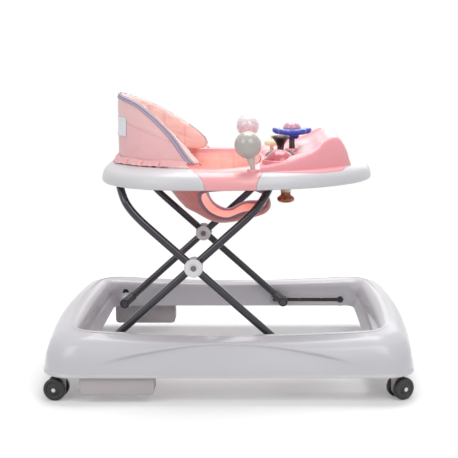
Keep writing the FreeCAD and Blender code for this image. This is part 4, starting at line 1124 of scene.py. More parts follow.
def tray_band(name, material, start, end, columns):
    """A closed length of the tray between two seams; start and end give a row's turns."""
    rows = []
    for anchor, distance, z in TRAY_SECTION:
        turn = np.linspace(start(anchor, distance, z), end(anchor, distance, z), columns)
        edge_x, edge_y = tray_outline(turn, 0)
        lip_x, lip_y = hole_outline(turn, 0)
        room = np.hypot(edge_x - lip_x, edge_y - lip_y)
        if anchor == "o":
            limit = np.minimum(distance, room - 15.5)
            x, y = tray_outline(turn, limit)
            height = z + np.where(limit < distance, (limit - distance) * 0.03, 0)
        else:
            x, y = hole_outline(turn, distance)
            height = np.full(x.shape, z)
        rows.append(np.stack([x, y, height], 1))
    band = grid(name, rows, material, across=True, caps=True, crease=None)
    rounded(band, 0.9 * MM, 2, 62)
    sharpened(band, 50)
    return band


class WALKER_OT_tray(bpy.types.Operator):
    """Build the tray's pink middle and its white rear and front bands"""
    bl_idname = "walker.tray"
    bl_label = "Seat tray"

    def execute(self, context):
        given = settings("tray")
        pink = plastic("tray_pink", given.pink, roughness=0.3, coat=0.3, dust=0.06, wear=0.05)
        white = plastic("tray_white", given.white, roughness=0.38, coat=0.15, dust=0.08, wear=0.05)
        gap = 0.3

        def seam(line, shift_by, mirror=False):
            def turn(anchor, distance, z):
                value = seam_turn(line, anchor, distance, z, shift_by)
                return 2 * math.pi - value if mirror else value
            return turn

        def backwards(line, shift_by):
            return lambda anchor, distance, z: -seam_turn(line, anchor, distance, z, shift_by)

        rear = tray_band("rear_band", white, seam(REAR_SEAM, -gap), seam(REAR_SEAM, -gap, True), 150)
        settle(rear, "tray", "tray_white", "tray_rear_band")
        front = tray_band("front_band", white, backwards(FRONT_SEAM, gap), seam(FRONT_SEAM, gap), 170)
        settle(front, "tray", "tray_white", "tray_front_band")
        left = tray_band("left", pink, seam(FRONT_SEAM, -gap), seam(REAR_SEAM, gap), 26)
        right = tray_band("right", pink, seam(REAR_SEAM, gap, True), seam(FRONT_SEAM, -gap, True), 26)
        ring = joined("pink_middle", [left, right])
        settle(ring, "tray", "tray_pink", "tray_ring")
        self.under_tray(given)
        return {"FINISHED"}

    def under_tray(self, given):
        """The clamps, track and latch below the deck."""
        track = plastic("track_plastic", given.track, roughness=0.4, coat=0.1, grain=0.06)
        module = plastic("toy_dark", given.module, roughness=0.45, coat=0.0, grain=0.1)
        steel = metal("zinc_steel", settings("legs").steel)
        for node in ("rear_clamps", "height_track", "seat_clips"):
            refined(node, track, "tray", "track_plastic", 0.5 * MM)
        for node in ("sound_module", "battery_door"):
            refined(node, module, "tray", "toy_dark", 1.0 * MM)
        neck = plastic("latch_beige", given.latch, roughness=0.35, coat=0.2, grain=0.05)
        refined("latch_housing", neck, "tray", "latch_beige", 0.8 * MM)
        refined("latch_pin", steel, "latch", "zinc_steel")
        coil = [(112 + 5.8 * math.cos(a), 5.8 * math.sin(a), 361.6 + 13.8 * a / (12 * math.pi))
                for a in np.linspace(0, 12 * math.pi, 240)]
        spring = tubes("latch_coil", [coil], steel, 0.6 * MM, 8)
        settle(spring, "latch", "zinc_steel", "latch_spring")
        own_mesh(spring)
        profile = [(0, 336), (7, 336.2), (12, 337.2), (16, 339.4), (18, 342.6), (17.9, 345.4), (16, 348.0),
                   (12.6, 350.0), (10.4, 352.4), (10.0, 355.4), (10.0, 357.6), (4.2, 357.6), (4.2, 340.2), (0, 340.2)]
        line = curve(profile[:11], 4) + profile[11:]
        knob = revolve("pull_knob", line, plastic("knob_orange", given.knob, roughness=0.25, coat=0.4,
                                                  through=0.25, grain=0.03), steps=96, crease=50)
        for vertex in knob.data.vertices:
            x, y, z = vertex.co / MM
            reach = math.hypot(x, y)
            if reach > 12 and z < 350:
                scale = 1 - 0.028 * (1 + math.cos(10 * math.atan2(y, x)))
                vertex.co.x, vertex.co.y = x * scale * MM, y * scale * MM
        settle(shift(knob, 112), "latch", "knob_orange", "latch_knob")


# ---------------------------------------------------------------- play console
CONSOLE_LINE = ((40.0, 431.0), (58.0, 432.8), (77.0, 435.5), (104.0, 441.0), (130.0, 448.0),
                (148.0, 453.6), (160.0, 458.0), (182.0, 472.0), (197.0, 481.0), (208.0, 481.0),
                (218.0, 472.0), (228.0, 453.0), (237.0, 424.0))
CONSOLE_SIDE = ((0.0, 402.0), (2.0, 424.0), (4.0, 440.0), (13.0, 470.0), (26.0, 500.0), (60.0, 560.0))
FLANGE_EDGE = ((62.0, 27.0), (89.0, 20.0), (130.0, 13.5), (186.0, 9.5), (214.0, 10.0), (222.0, 16.0))


def console_height(x, y, rear_gap):
    """The console's skin over a point of the plan, rounded at its edges."""
    x, y = np.asarray(x, float), np.asarray(y, float)
    top = between(CONSOLE_LINE, x)
    dish = 7.0 * (1 - ease(40, 150, np.abs(y))) * ease(76, 104, x) * (1 - ease(112, 148, x))
    side = between(CONSOLE_SIDE, np.maximum(tray_inset(x, y) - 20, 0))
    sweep = 5.2 * np.exp(-((np.abs(y) - 196 + 0.42 * (x - 60)) / 9.0) ** 2)
    sweep = sweep * ease(66, 110, x) * (1 - ease(175, 205, x))
    top = top - dish + sweep
    soft = 9.0
    blend = np.clip(0.5 + 0.5 * (side - top) / soft, 0, 1)
    z = side * (1 - blend) + top * blend - soft * blend * (1 - blend)
    lift = np.sqrt(1 - (1 - np.clip(rear_gap / 8.0, 0, 1)) ** 2)
    return 428.4 + (z - 428.4) * lift


def console_grid(across, steps):
    theta = turn_at_x(58.0, TRAY_MID_X, TRAY_REAR - 20, TRAY_FRONT - 20, REAR_POWER, FRONT_POWER)
    rows = []
    shares = np.concatenate([[0, .006, .014, .026, .042, .06], np.linspace(0.085, 0.9, steps),
                             [.915, .93, .943, .955, .966, .976, .985, .993, 1.0]])
    s = np.sin(np.linspace(-math.pi / 2, math.pi / 2, across))
    turn = theta * s
    front_x, front_y = tray_outline(turn, 20)
    rear_y = 219.0 * np.sin(turn / theta * math.pi / 2 * 0.999)
    rim = HOLE_MID_X + 112 * np.maximum(1 - (np.abs(rear_y) / 202) ** 2.5, 0) ** 0.4
    rear_x = np.maximum(58.0, rim)
    for share in shares:
        x = rear_x + (front_x - rear_x) * share
        y = rear_y + (front_y - rear_y) * share
        gap = np.hypot(front_x - rear_x, front_y - rear_y) * share
        z = np.maximum(console_height(x, y, gap), tray_height(x, y) - 2.0)
        rows.append(np.stack([x, y, z], 1))
    return rows


def deck_flange(side, material):
    """The pink tongue on the tray's shoulder under the console's wall."""
    rows = []
    for x in np.concatenate([[62.5], np.linspace(66, 214, 44), [217, 219.5, 221.2, 222]]):
        edge = float(between(FLANGE_EDGE, x))
        inner = 24.0 if x < 214 else 24 - 8 * ((x - 214) / 8) ** 2
        insets = edge + (inner - edge) * np.array([0, 0.03, 0.1, 0.25, 0.45, 0.65, 0.85, 1.0])
        raised = np.array([-0.6, 0.5, 1.1, 1.4, 1.5, 1.5, 1.5, 1.5])
        power = np.abs((x - TRAY_MID_X) / (TRAY_FRONT - insets)) ** FRONT_POWER
        y = side * (TRAY_HALF_Y - insets) * (1 - power) ** (1 / FRONT_POWER)
        rows.append(np.stack([np.full(8, x), y, between(TRAY_TOP, insets) + raised], 1))
    flange = grid("flange", rows, material, crease=60, outward=False)
    if flange.data.polygons[100].normal.z < 0:
        flange.data.flip_normals()
    return thick(flange, 1.6 * MM)


class WALKER_OT_console(bpy.types.Operator):
    """Build the pink play console and its tongue on the tray"""
    bl_idname = "walker.console"
    bl_label = "Play console"

    def execute(self, context):
        given = settings("tray")
        pink = plastic("console_pink", given.console, roughness=0.34, coat=0.2, dust=0.04, wear=0.03,
                       grain=0.01)
        skin = grid("console_skin", console_grid(150, 56), pink, crease=60, outward=False)
        high = max(skin.data.polygons, key=lambda face: face.center.z)
        if high.normal.z < 0:
            skin.data.flip_normals()
        thick(skin, 2.2 * MM)
        parts = [skin] + [deck_flange(side, pink) for side in (-1, 1)]
        collar = [(29.6, 431), (29.6, 440.6), (30.2, 442.2), (31.4, 442.6), (32.6, 441.6), (33.2, 439.0),
                  (33.4, 431)]
        parts.append(shift(revolve("collar", collar, pink, steps=80, closed=True), 96, -160))
        foot = [(6.4, 433), (6.4, 447), (8, 448.6), (13, 448.6), (15, 446), (16, 440), (16, 433)]
        parts.append(shift(revolve("foot", foot, pink, steps=48, closed=True), 124, 0))
        console = joined("play_console", parts)
        settle(console, "tray", "console_pink", "console")
        return {"FINISHED"}


# ---------------------------------------------------------------- toys
def rattle_place(side):
    lean = -12.0 if side < 0 else -16.0
    return Matrix.Translation((46 * MM, side * 215 * MM, 428.6 * MM)) @ turned(lean, "Y")


class WALKER_OT_toys(bpy.types.Operator):
    """Build the flower, horn, dome button, spinner and the two rattles"""
    bl_idname = "walker.toys"
    bl_label = "Toys"

    def execute(self, context):
        given = settings("toys")
        self.flower(given)
        self.horn(given)
        self.dome()
        self.spinner(given)
        self.rattles(given)
        return {"FINISHED"}

    def flower(self, given):
        blue = plastic("toy_blue", given.blue, roughness=0.3, coat=0.4, grain=0.05, wear=0.2)
        steps, rows = 144, []
        section = [(0.10, -4.0), (0.5, -3.4), (0.8, -3.0), (0.93, -1.6), (0.99, 1.0), (1.0, 3.8), (0.985, 6.4),
                   (0.93, 8.2), (0.82, 9.0), (0.6, 8.6), (0.45, 8.4), (0.10, 8.6)]
        wave = given.petal_wave / MM
        for share, z in curve(section, 3):
            row = []
            for i in range(steps):
                a = 2 * math.pi * i / steps
                petal = abs(math.cos(3 * a)) ** 0.7
                reach = share * (33.0 + 7.0 * petal)
                lift = wave * math.cos(2 * a + 0.4) * share ** 3 + 0.8 * math.cos(6 * a) * share ** 4
                row.append((reach * math.cos(a), reach * math.sin(a), 480 + z + lift))
            rows.append(row)
        disc = grid("disc", rows, blue, across=True, along=True, crease=None)
        hub = revolve("hub", ((3, 467), (10, 467), (12.6, 468), (14.5, 471), (15.5, 476), (17.5, 481), (3, 481)),
                      blue, steps=64, closed=True)
        settle(shift(joined("flower", [disc, hub]), 124), "flower", "toy_blue", "flower_disc")
        cap_line = [(17.8, 488.4), (18.0, 489.6), (17.4, 492.4), (15.4, 496.0), (12.0, 499.0), (7.0, 500.8),
                    (0, 501.2)]
        pink = plastic("toy_pink", given.pink, roughness=0.18, coat=0.5, through=0.15, grain=0.01)
        cap = revolve("flower_dome", curve(cap_line, 4) + [(0, 488.4)], pink)
        settle(shift(cap, 124), "flower", "toy_pink", "flower_cap")
        post = plastic("toy_black", given.black, roughness=0.22, coat=0.4, grain=0.02)
        refined("flower_post", post, "tray", "toy_black")

    def horn(self, given):
        black = plastic("toy_black", given.black, roughness=0.22, coat=0.4, grain=0.02)
        line = [(0, 443), (6.4, 443), (6.5, 450), (6.6, 458), (7.6, 463), (10.4, 468.6), (13.8, 473.4),
                (16.0, 476.6), (16.6, 478.6), (15.6, 479.2), (13.4, 477.4), (9.0, 472), (5.0, 466), (0, 462)]
        horn = revolve("trumpet", [line[0]] + curve(line[1:], 3), black, crease=50)
        settle(shift(horn, 99, -92), "horn", "toy_black", "horn_button")
        lip_line = [(15.2, 478.0), (16.6, 477.6), (17.5, 478.4), (17.6, 479.8), (16.8, 480.8), (15.4, 480.6),
                    (14.8, 479.2)]
        lip = revolve("trumpet_lip", lip_line, plastic("lip_grey", srgb(58, 46, 54), roughness=0.3),
                      closed=True, crease=70)
        settle(shift(lip, 99, -92), "horn", "toy_dark")
        dark = plastic("plate_brown", given.dark, roughness=0.35, coat=0.2, grain=0.05)
        plate_line = [(6.9, 452.6), (12, 452.9), (20, 451.4), (26, 448.4), (29.4, 444.6), (30, 443.0),
                      (29.0, 442.6), (24, 446.6), (18, 449.4), (12, 450.6), (6.9, 450.4)]
        plate = revolve("horn_saucer", curve(plate_line, 3), dark, closed=True,
                        crease=60)
        foot = revolve("foot", ((7, 434), (20, 434), (20, 449.4), (7, 450.6)), dark, closed=True)
        settle(shift(joined("horn_saucer", [plate, foot]), 99, -92), "tray", "toy_dark", "horn_plate")

    def dome(self):
        # A darker copy of the console pink: painted shade on the dome's side.
        pink = plastic("dome_pink", srgb(200, 94, 106), roughness=0.2, coat=0.5, grain=0.01, dust=0.03)
        line = [(29.0, 431.6), (29.0, 433.0)]
        line += [(29 * math.cos(a), 433 + 28 * math.sin(a)) for a in np.linspace(0.08, math.pi / 2, 20)]
        line += [(0, 458)] + [(25 * math.cos(a), 433 + 25 * math.sin(a))
                              for a in np.linspace(math.pi / 2 - 0.08, 0, 12)] + [(25.0, 431.6)]
        dome = revolve("side_dome", line, pink, steps=88, closed=True)
        settle(shift(dome, 96, -160), "dome", "console_pink", "dome_button")

    def spinner(self, given):
        yellow = plastic("toy_yellow", given.yellow, roughness=0.35, coat=0.2, grain=0.04)
        line = [(2.1, 452), (11, 452), (14.6, 453), (15.8, 455.4), (15.6, 459), (13.6, 462.6), (10.4, 464.4),
                (6, 465), (2.1, 465)]
        knob = revolve("ribbed_knob", curve(line, 4), yellow, steps=96, closed=True)
        for vertex in knob.data.vertices:
            x, y = vertex.co.x, vertex.co.y
            if math.hypot(x, y) > 12.5 * MM:
                scale = 1 - 0.03 * (1 + math.cos(16 * math.atan2(y, x)))
                vertex.co.x, vertex.co.y = x * scale, y * scale
        settle(shift(knob, 84, 92, -7), "spinner", "toy_yellow", "spinner_knob")
        refined("spinner_post", yellow, "tray", "toy_yellow", 0.2 * MM)

    def rattles(self, given):
        clear = plastic("rattle_clear", given.clear, roughness=0.16, coat=0.5, through=0.12, grain=0.01,
                        dust=0.03)
        pale = plastic("rattle_pale", srgb(252, 245, 249), roughness=0.16, coat=0.5, through=0.35, grain=0.01,
                       dust=0.03)
        stem = plastic("rattle_stem", given.stem, roughness=0.28, coat=0.3, grain=0.03)
        for side, name in ((-1, "right"), (1, "left")):
            place = rattle_place(side)
            outer = [(5.9, 25.7)] + [(25.0 * math.cos(a), 50 + 25.0 * math.sin(a) * (1.04 if a > 0 else 1.0))
                                     for a in np.linspace(-1.33, math.pi / 2, 30)]
            inner = [(23.0 * math.cos(a), 50 + 23.0 * math.sin(a)) for a in np.linspace(math.pi / 2, -1.31, 24)]
            ball = revolve("ball", outer + inner, clear, steps=80, closed=True)
            seam = [(25.05 * math.cos(a), 0.0, 50 + 25.4 * math.sin(a)) for a in np.linspace(-1.2, 4.34, 90)]
            rib = tubes("rib", [seam], clear, 0.55 * MM, 8)
            rib.data.transform(turned(62, "Z"))
            whole = joined("rattle_" + name, [ball, rib])
            if side > 0:
                whole.data.materials.clear()
                whole.data.materials.append(pale)
            else:
                shift(whole, 0, 0, -3.5)
            whole.data.transform(place)
            settle(whole, "rattle_" + name, "rattle_clear", "rattle_ball_" + name)
            line = [(0, -4.9), (2.6, -4.2), (4.6, -2.0), (4.9, 0.5), (4.2, 3.2), (4.6, 6.0), (5.6, 12.0),
                    (6.6, 18.0), (8.0, 22.6), (8.4, 24.4), (7.4, 25.4), (5.8, 25.8), (5.7, 28.6), (0, 28.8)]
            rod = revolve("rattle_rod_" + name, curve(line, 3), stem, steps=56,
                          crease=60)
            rod.data.transform(place)
            settle(rod, "rattle_" + name, "rattle_stem", "rattle_stem_" + name)
        pink = plastic("tray_pink", settings("tray").pink, roughness=0.3, coat=0.3, dust=0.06, wear=0.05)
        refined("rattle_sockets", pink, "tray", "tray_pink", 0.8 * MM)


# ---------------------------------------------------------------- padded seat back
BACK_MID_X, BACK_REAR, BACK_HALF_Y, BACK_POWER, BACK_FOOT = -66.0, 162.0, 182.0, 2.3, 430.0
RIGHT_TOP = ((-240.0, 562.0), (-222.0, 561.0), (-205.0, 557.0), (-179.0, 548.0), (-155.0, 532.0), (-134.0, 515.0),
             (-110.0, 491.0), (-92.0, 467.0), (-78.0, 446.0), (-70.0, 438.0))
LEFT_TOP = ((-240.0, 562.0), (-222.0, 555.0), (-205.0, 545.0), (-179.0, 533.0), (-135.0, 508.0), (-93.0, 478.0),
            (-78.0, 460.0), (-66.0, 446.0))
WING_TAPE_LINE = ((-46, 152, 433), (-46, 152, 446), (-49, 152, 458), (-58, 152, 468), (-72, 154, 480),
                  (-90, 157, 496))
BACK_START, BACK_STOP = math.radians(90.2), math.radians(269.8)
CHANNELS = (103, 120, 137, 154, 171, 189, 206, 223, 240, 257)


def back_outline(turn, inset=0.0):
    return egg(turn, BACK_MID_X, BACK_REAR - inset, BACK_REAR - inset, BACK_HALF_Y - inset,
               BACK_POWER, BACK_POWER)


def back_point(turn, inset, z):
    x, y = back_outline(turn, inset)
    return np.stack([x, y, np.broadcast_to(z, x.shape)], -1)


def back_top(x, y):
    """Height of the seat back's top edge; the slack cloth hangs lower on the left."""
    left = ease(-30, 60, y)
    return between(RIGHT_TOP, x) * (1 - left) + between(LEFT_TOP, x) * left


def back_place(points):
    """(turn in degrees, distance inside the outer face) of points in millimetres."""
    dx = (points[:, 0] - BACK_MID_X) / BACK_REAR
    dy = points[:, 1] / BACK_HALF_Y
    turn = np.degrees(np.arctan2(np.sign(dy) * np.abs(dy) ** (BACK_POWER / 2),
                                 np.sign(dx) * np.abs(dx) ** (BACK_POWER / 2))) % 360
    reach = (np.abs(dx) ** BACK_POWER + np.abs(dy) ** BACK_POWER) ** (1 / BACK_POWER)
    return turn, (1 - reach) * np.hypot(points[:, 0] - BACK_MID_X, points[:, 1]) / np.maximum(reach, 0.1)


def seam_height(x):
    """Height of the slanting seam on the outside of the seat back."""
    return 520.0 - (np.asarray(x) + 229.0) * 0.34


def near_line(points, lines, reach):
    """1 on any of the lines of points, easing to 0 at the reach, in millimetres."""
    nearest = np.full(len(points), 1e9)
    for line in lines:
        for start in range(0, len(line), 40):
            gap = points[:, None, :] - np.asarray(line)[None, start:start + 40]
            nearest = np.minimum(nearest, np.sqrt((gap ** 2).sum(-1)).min(1))
    return 1 - ease(0, reach, nearest)


def coordinates(mesh):
    points = np.empty(len(mesh.vertices) * 3)
    mesh.vertices.foreach_get("co", points)
    return points.reshape(-1, 3) / MM


def swell(piece, hold, cap, cell=5.0):
    """Puff a closed pad up by cloth simulation, held where hold() is 1 and moved no more than cap()."""
    modifier = piece.modifiers.new("voxels", "REMESH")
    modifier.mode = "VOXEL"
    modifier.voxel_size = cell * MM
    applied(piece)
    start = coordinates(piece.data)
    group = piece.vertex_groups.new(name="sewn")
    for index, weight in enumerate(hold(start)):
        group.add([index], float(weight), "REPLACE")
    modifier = piece.modifiers.new("cloth", "CLOTH")
    modifier.settings.quality = 4
    modifier.settings.mass = 0.2
    modifier.settings.tension_stiffness = 8
    modifier.settings.compression_stiffness = 8
    modifier.settings.shear_stiffness = 4
    modifier.settings.bending_stiffness = 0.4
    modifier.settings.use_pressure = True
    modifier.settings.uniform_pressure_force = 4
    modifier.settings.vertex_group_mass = "sewn"
    modifier.settings.effector_weights.gravity = 0
    modifier.point_cache.frame_start, modifier.point_cache.frame_end = 1, 20
    for number in range(1, 21):
        bpy.context.scene.frame_set(number)
    grown_mesh = piece.evaluated_get(bpy.context.evaluated_depsgraph_get()).to_mesh()
    end = coordinates(grown_mesh)
    piece.to_mesh_clear()
    piece.modifiers.clear()
    bpy.context.scene.frame_set(1)
    moved = end - start
    length = np.sqrt((moved ** 2).sum(1))
    most = cap(start)
    moved *= (most * np.tanh(length / np.maximum(most, 0.01)) / np.maximum(length, 1e-6))[:, None]
    piece.data.vertices.foreach_set("co", ((start + moved) * MM).ravel())
    piece.data.update()
    return piece


def surface_of(piece):
    work = bmesh.new()
    work.from_mesh(piece.data)
    tree = BVHTree.FromBMesh(work)
    work.free()
    return tree


def steadied(path, passes=2):
    """A line of points with small steps taken out of it."""
    path = np.array(path)
    for _ in range(passes):
        path[1:-1] = (path[:-2] + 2 * path[1:-1] + path[2:]) / 4
    return path


def laid_tape(name, path, tree, width, lift, material, columns=7, depth=1.1):
    """A tape of cloth that follows a line over a surface, in millimetres."""
    path = steadied([np.asarray(p, float) for p in path])
    rows, last = [], None
    for i, point in enumerate(path):
        along = Vector(path[min(i + 1, len(path) - 1)] - path[max(i - 1, 0)]).normalized()
        _, normal, _, _ = tree.find_nearest(Vector(point * MM))
        if last is not None:
            normal = (normal + last * 2).normalized()
        last = normal
        side = along.cross(normal).normalized()
        row = []
        for share in np.linspace(-0.5, 0.5, columns):
            aim = Vector(point * MM) + side * (share * width * MM)
            place, face, _, _ = tree.find_nearest(aim)
            row.append(np.array(place + face * ((lift - 0.5 * (2 * share) ** 4) * MM)) / MM)
        rows.append(row)
    rows = np.array(rows)
    for _ in range(2):
        rows[1:-1] = (rows[:-2] + 2 * rows[1:-1] + rows[2:]) / 4
    strip = grid(name, rows, material, crease=None, outward=False)
    centre = np.array(strip.data.polygons[len(strip.data.polygons) // 2].center)
    _, face, _, _ = tree.find_nearest(Vector(centre))
    if strip.data.polygons[len(strip.data.polygons) // 2].normal.dot(face) < 0:
        strip.data.flip_normals()
    return thick(strip, depth * MM), rows


def stitched(name, lines, body, slot, colour_of, spacing=5.2):
    thread = plastic("thread_" + name, colour_of, roughness=0.6, coat=0.0, grain=0.0, dust=0.0, wear=0.0)
    row = grown(name, line_mesh(name, lines), stitches_tree(), thread, Spacing=spacing * MM,
                Length=3.4 * MM, Thread=0.55 * MM)
    row.data.shade_smooth()
    return settle(row, body, slot)


class WALKER_OT_seat_back(bpy.types.Operator):
    """Build the padded seat back with its seams, binding, stitches and blank label"""
    bl_idname = "walker.seat_back"
    bl_label = "Seat back"

    def execute(self, context):
        given = settings("seat")
        cover = cloth("seat_cover", given.cover, srgb(244, 168, 172), threads=900, crease=0.3)
        # A lighter copy of the cover cloth for the panel above the slanting seam: painted light on the top of the
        # seat back.
        upper = cloth("seat_upper", srgb(255, 206, 205), srgb(246, 180, 180), threads=900, crease=0.3)
        lining = cloth("seat_lining", given.lining, srgb(255, 188, 178), threads=900, crease=0.4)
        pad = self.pad(lining)
        swell(pad, self.hold, self.cap)
        finer(pad)
        self.carve(pad)
        pad.data.materials.clear()
        for material in (cover, upper, lining):
            pad.data.materials.append(material)
        centres = np.empty(len(pad.data.polygons) * 3)
        pad.data.polygons.foreach_get("center", centres)
        centres = centres.reshape(-1, 3) / MM
        turn, inset = back_place(centres)
        top = back_top(centres[:, 0], centres[:, 1])
        outside = (inset < 7.5 + 2.5 * ease(20, 0, top - centres[:, 2])) & (centres[:, 0] < -73.5)
        # Outside faces above the slanting seam take the lighter copy: painted light.
        kinds = np.where(outside, np.where(centres[:, 2] > seam_height(centres[:, 0]), 1, 0), 2)
        pad.data.polygons.foreach_set("material_index", kinds.astype(np.int32))
        pad.data.shade_smooth()
        settle(pad, "tray", "seat_fabric", "seat_back")
        self.trim(pad, given)
        return {"FINISHED"}

    def edge(self, count=150):
        """The outer top edge from the right wing round to the left, with both front ends."""
        turn = np.linspace(BACK_STOP, BACK_START, count)
        x, y = back_outline(turn)
        line = back_point(turn, 2.6, back_top(x, y) - 2.0)
        ends = []
        for at in (line[0], line[-1]):
            ends.append([np.array([at[0] + 1.2, at[1], z]) for z in np.linspace(BACK_FOOT + 1, at[2] - 1.5, 4)])
        return list(ends[0]) + list(line) + list(reversed(ends[1]))

    def pad(self, material):
        """The pad before it swells: a closed wrap-round wall with soft edges."""
        section = ((12.0, 0.0), (6.0, 0.002), (3.4, 0.02), (2.4, 0.06), (2.2, 0.15), (2.2, 0.3), (2.2, 0.45),
                   (2.2, 0.6), (2.2, 0.75), (2.3, 0.88), (2.8, 0.96), (4.6, 0.99), (8.0, 1.0), (12.0, 0.995),
                   (15.0, 0.975), (16.6, 0.94), (17.2, 0.86), (17.4, 0.72), (17.4, 0.55), (17.2, 0.4), (17.0, 0.25),
                   (16.8, 0.12), (16.2, 0.04), (15.0, 0.01))
        turn = np.linspace(BACK_START, BACK_STOP, 150)
        top = back_top(*back_outline(turn))
        arc = np.concatenate([[0], np.cumsum(np.hypot(*np.diff(back_point(turn, 9, 0)[:, :2], axis=0).T))])
        end = np.minimum(arc, arc[-1] - arc)
        taper = np.sqrt(np.clip(1 - (1 - np.clip(end / 7.0, 0, 1)) ** 2, 0.002, 1))
        rows = []
        for inset, share in section:
            depth = 9.8 + (inset - 9.8) * taper
            z = BACK_FOOT + (top - BACK_FOOT) * (0.5 + (share - 0.5) * (0.8 + 0.2 * taper))
            points = back_point(turn, 0, z)
            for i, d in enumerate(depth):
                far = d - 9.8 if d > 9.8 else 0.0
                grow = float(1 - ease(15, 110, end[i]))
                points[i] = back_point(turn[i:i + 1], d + 1.05 * far * grow, z[i])[0]
                points[i][0] += 2.7 * far * float(1 - ease(0, 55, end[i]))
            rows.append(points)
        return grid("seat_pad", rows, material, across=True, caps=True, crease=None)

    def hold(self, points):
        """Where the pad is sewn down: its foot, its bound edge, its channels and the slanting seam."""
        turn, inset = back_place(points)
        inner = ease(8, 12, inset)
        channel = np.max([np.exp(-((turn - c) / 1.3) ** 2) for c in CHANNELS], axis=0) * inner
        foot = 1 - ease(BACK_FOOT + 2, BACK_FOOT + 8, points[:, 2])
        slant = np.exp(-((points[:, 2] - seam_height(points[:, 0])) / 4.0) ** 2) * (1 - inner)
        edge = near_line(points, [self.edge()], 9)
        return np.clip(np.max([channel, foot, slant, edge], axis=0), 0, 1)

    def cap(self, points):
        _, inset = back_place(points)
        puff = settings("seat").puff / MM
        return 2.4 + (puff - 2.4) * ease(8, 13, inset)

    def carve(self, pad):
        """Press the seams and sewn channels into the swollen pad."""
        mesh = pad.data
        points = coordinates(mesh)
        normals = np.empty(len(mesh.vertices) * 3)
        mesh.vertex_normals.foreach_get("vector", normals)
        normals = normals.reshape(-1, 3)
        turn, inset = back_place(points)
        inner = ease(8, 12, inset)
        top = back_top(points[:, 0], points[:, 1])
        width = 1.5 / 165 * 180 / math.pi
        channel = np.max([np.exp(-((turn - c) / width) ** 2) for c in CHANNELS], axis=0) * inner
        channel *= ease(3, 16, top - points[:, 2])
        waist = np.exp(-((points[:, 2] - BACK_FOOT - 0.52 * (top - BACK_FOOT)) / 2.4) ** 2) * inner
        waist *= ease(30, 60, top - BACK_FOOT)
        slant = np.exp(-((points[:, 2] - seam_height(points[:, 0])) / 1.8) ** 2) * (1 - inner)
        deep = 2.6 * channel + 1.6 * waist + 1.1 * slant
        rng = np.random.default_rng(11)
        for _ in range(10):
            way = rng.normal(size=3) * (0.05, 0.05, 0.16)
            deep += 0.12 * np.sin(points @ way * 1.6 + rng.uniform(0, 6.28)) * (0.6 + 0.9 * inner)
        pucker = np.sin(points[:, 2] * 0.9) * np.max(
            [np.exp(-((turn - c) / 4.5) ** 2) for c in CHANNELS], axis=0) * inner
        deep += 0.35 * pucker
        mesh.vertices.foreach_set("co", ((points - normals * deep[:, None]) * MM).ravel())
        mesh.update()

    def trim(self, pad, given):
        """The binding tape on the bound edge, its stitches, the seam stitches and the label."""
        tree = surface_of(pad)
        tape = cloth("binding_tape", given.binding, srgb(158, 145, 172), threads=1500, sheen=0.2, crease=0.3)
        width = given.tape / MM
        strip, rows = laid_tape("back_binding", self.edge(), tree, width, 1.5, tape, columns=9)
        settle(strip, "tray", "seat_fabric")
        count = rows.shape[1]

        def run(column, margin, height):
            """One column of the tape's points, lifted off the pad."""
            line = rows[margin:-margin, column]
            return [tuple(p) for p in line + self.lifted(tree, line, height)]

        lines = [run(column, 3, 0.35) for column in (1, count - 2)]
        stitched("binding_stitches", lines, "tray", "seat_fabric", srgb(152, 140, 166))
        cord_cloth = cloth("edge_cord", srgb(150, 132, 160), srgb(110, 92, 122), threads=1500, sheen=0.1)
        settle(tubes("binding_cord", [run(count // 2, 2, 0.3)], cord_cloth, 0.9 * MM, 8), "tray", "seat_fabric")
        seam = []
        for side in (BACK_START, BACK_STOP):
            line = []
            for turn in np.linspace(math.pi, side, 90):
                x, y = back_outline(np.array([turn]))
                z = float(seam_height(x[0])) - 2.4
                if z < float(back_top(x, y)[0]) - 12:
                    point = back_point(np.array([turn]), -2.0, z)[0]
                    place, face, _, _ = tree.find_nearest(Vector(point * MM))
                    line.append(tuple(np.array(place + face * 0.25 * MM) / MM))
            seam.append(line)
        stitched("seam_stitches", seam, "tray", "seat_fabric", tuple(given.thread))
        self.wing_tapes(tree, tape)
        self.label(tree, given)

    def wing_tapes(self, tree, tape):
        """Narrow tapes up the inner front edge of each wing."""
        strips = []
        for way in (-1, 1):
            path = smooth_line([(x, way * y, z) for x, y, z in WING_TAPE_LINE], 6)
            strips.append(laid_tape("wing_tape", path, tree, 9.0, 1.3, tape)[0])
        settle(joined("wing_tapes", strips), "tray", "seat_fabric")

    def lifted(self, tree, points, height):
        return np.array([np.array(tree.find_nearest(Vector(p * MM))[1]) * height for p in points])

    def label(self, tree, given):
        """A blank woven label sewn on by its upper edge."""
        white = cloth("label_satin", given.label, srgb(214, 224, 236), threads=1800, sheen=0.5, roughness=0.5,
                      crease=0.2)
        rows = []
        for z in np.linspace(481, 518, 18):
            row = []
            for y in np.linspace(-62, -115, 22):
                turn = math.pi + math.asin(min(1.0, (abs(y) / BACK_HALF_Y) ** (BACK_POWER / 2)))
                point = back_point(np.array([turn]), -3.0, z)[0]
                place, face, _, _ = tree.find_nearest(Vector(point * MM))
                out = 0.9 + 1.6 * ((518 - z) / 38) ** 2 + 0.3 * math.sin(y * 0.16 + z * 0.05)
                row.append(np.array(place + face * out * MM) / MM)
            rows.append(row)
        sheet = grid("blank_label", rows, white, crease=None, outward=False)
        if sheet.data.polygons[10].normal.x > 0:
            sheet.data.flip_normals()
        thick(sheet, 0.5 * MM)
        settle(sheet, "tray", "seat_fabric")


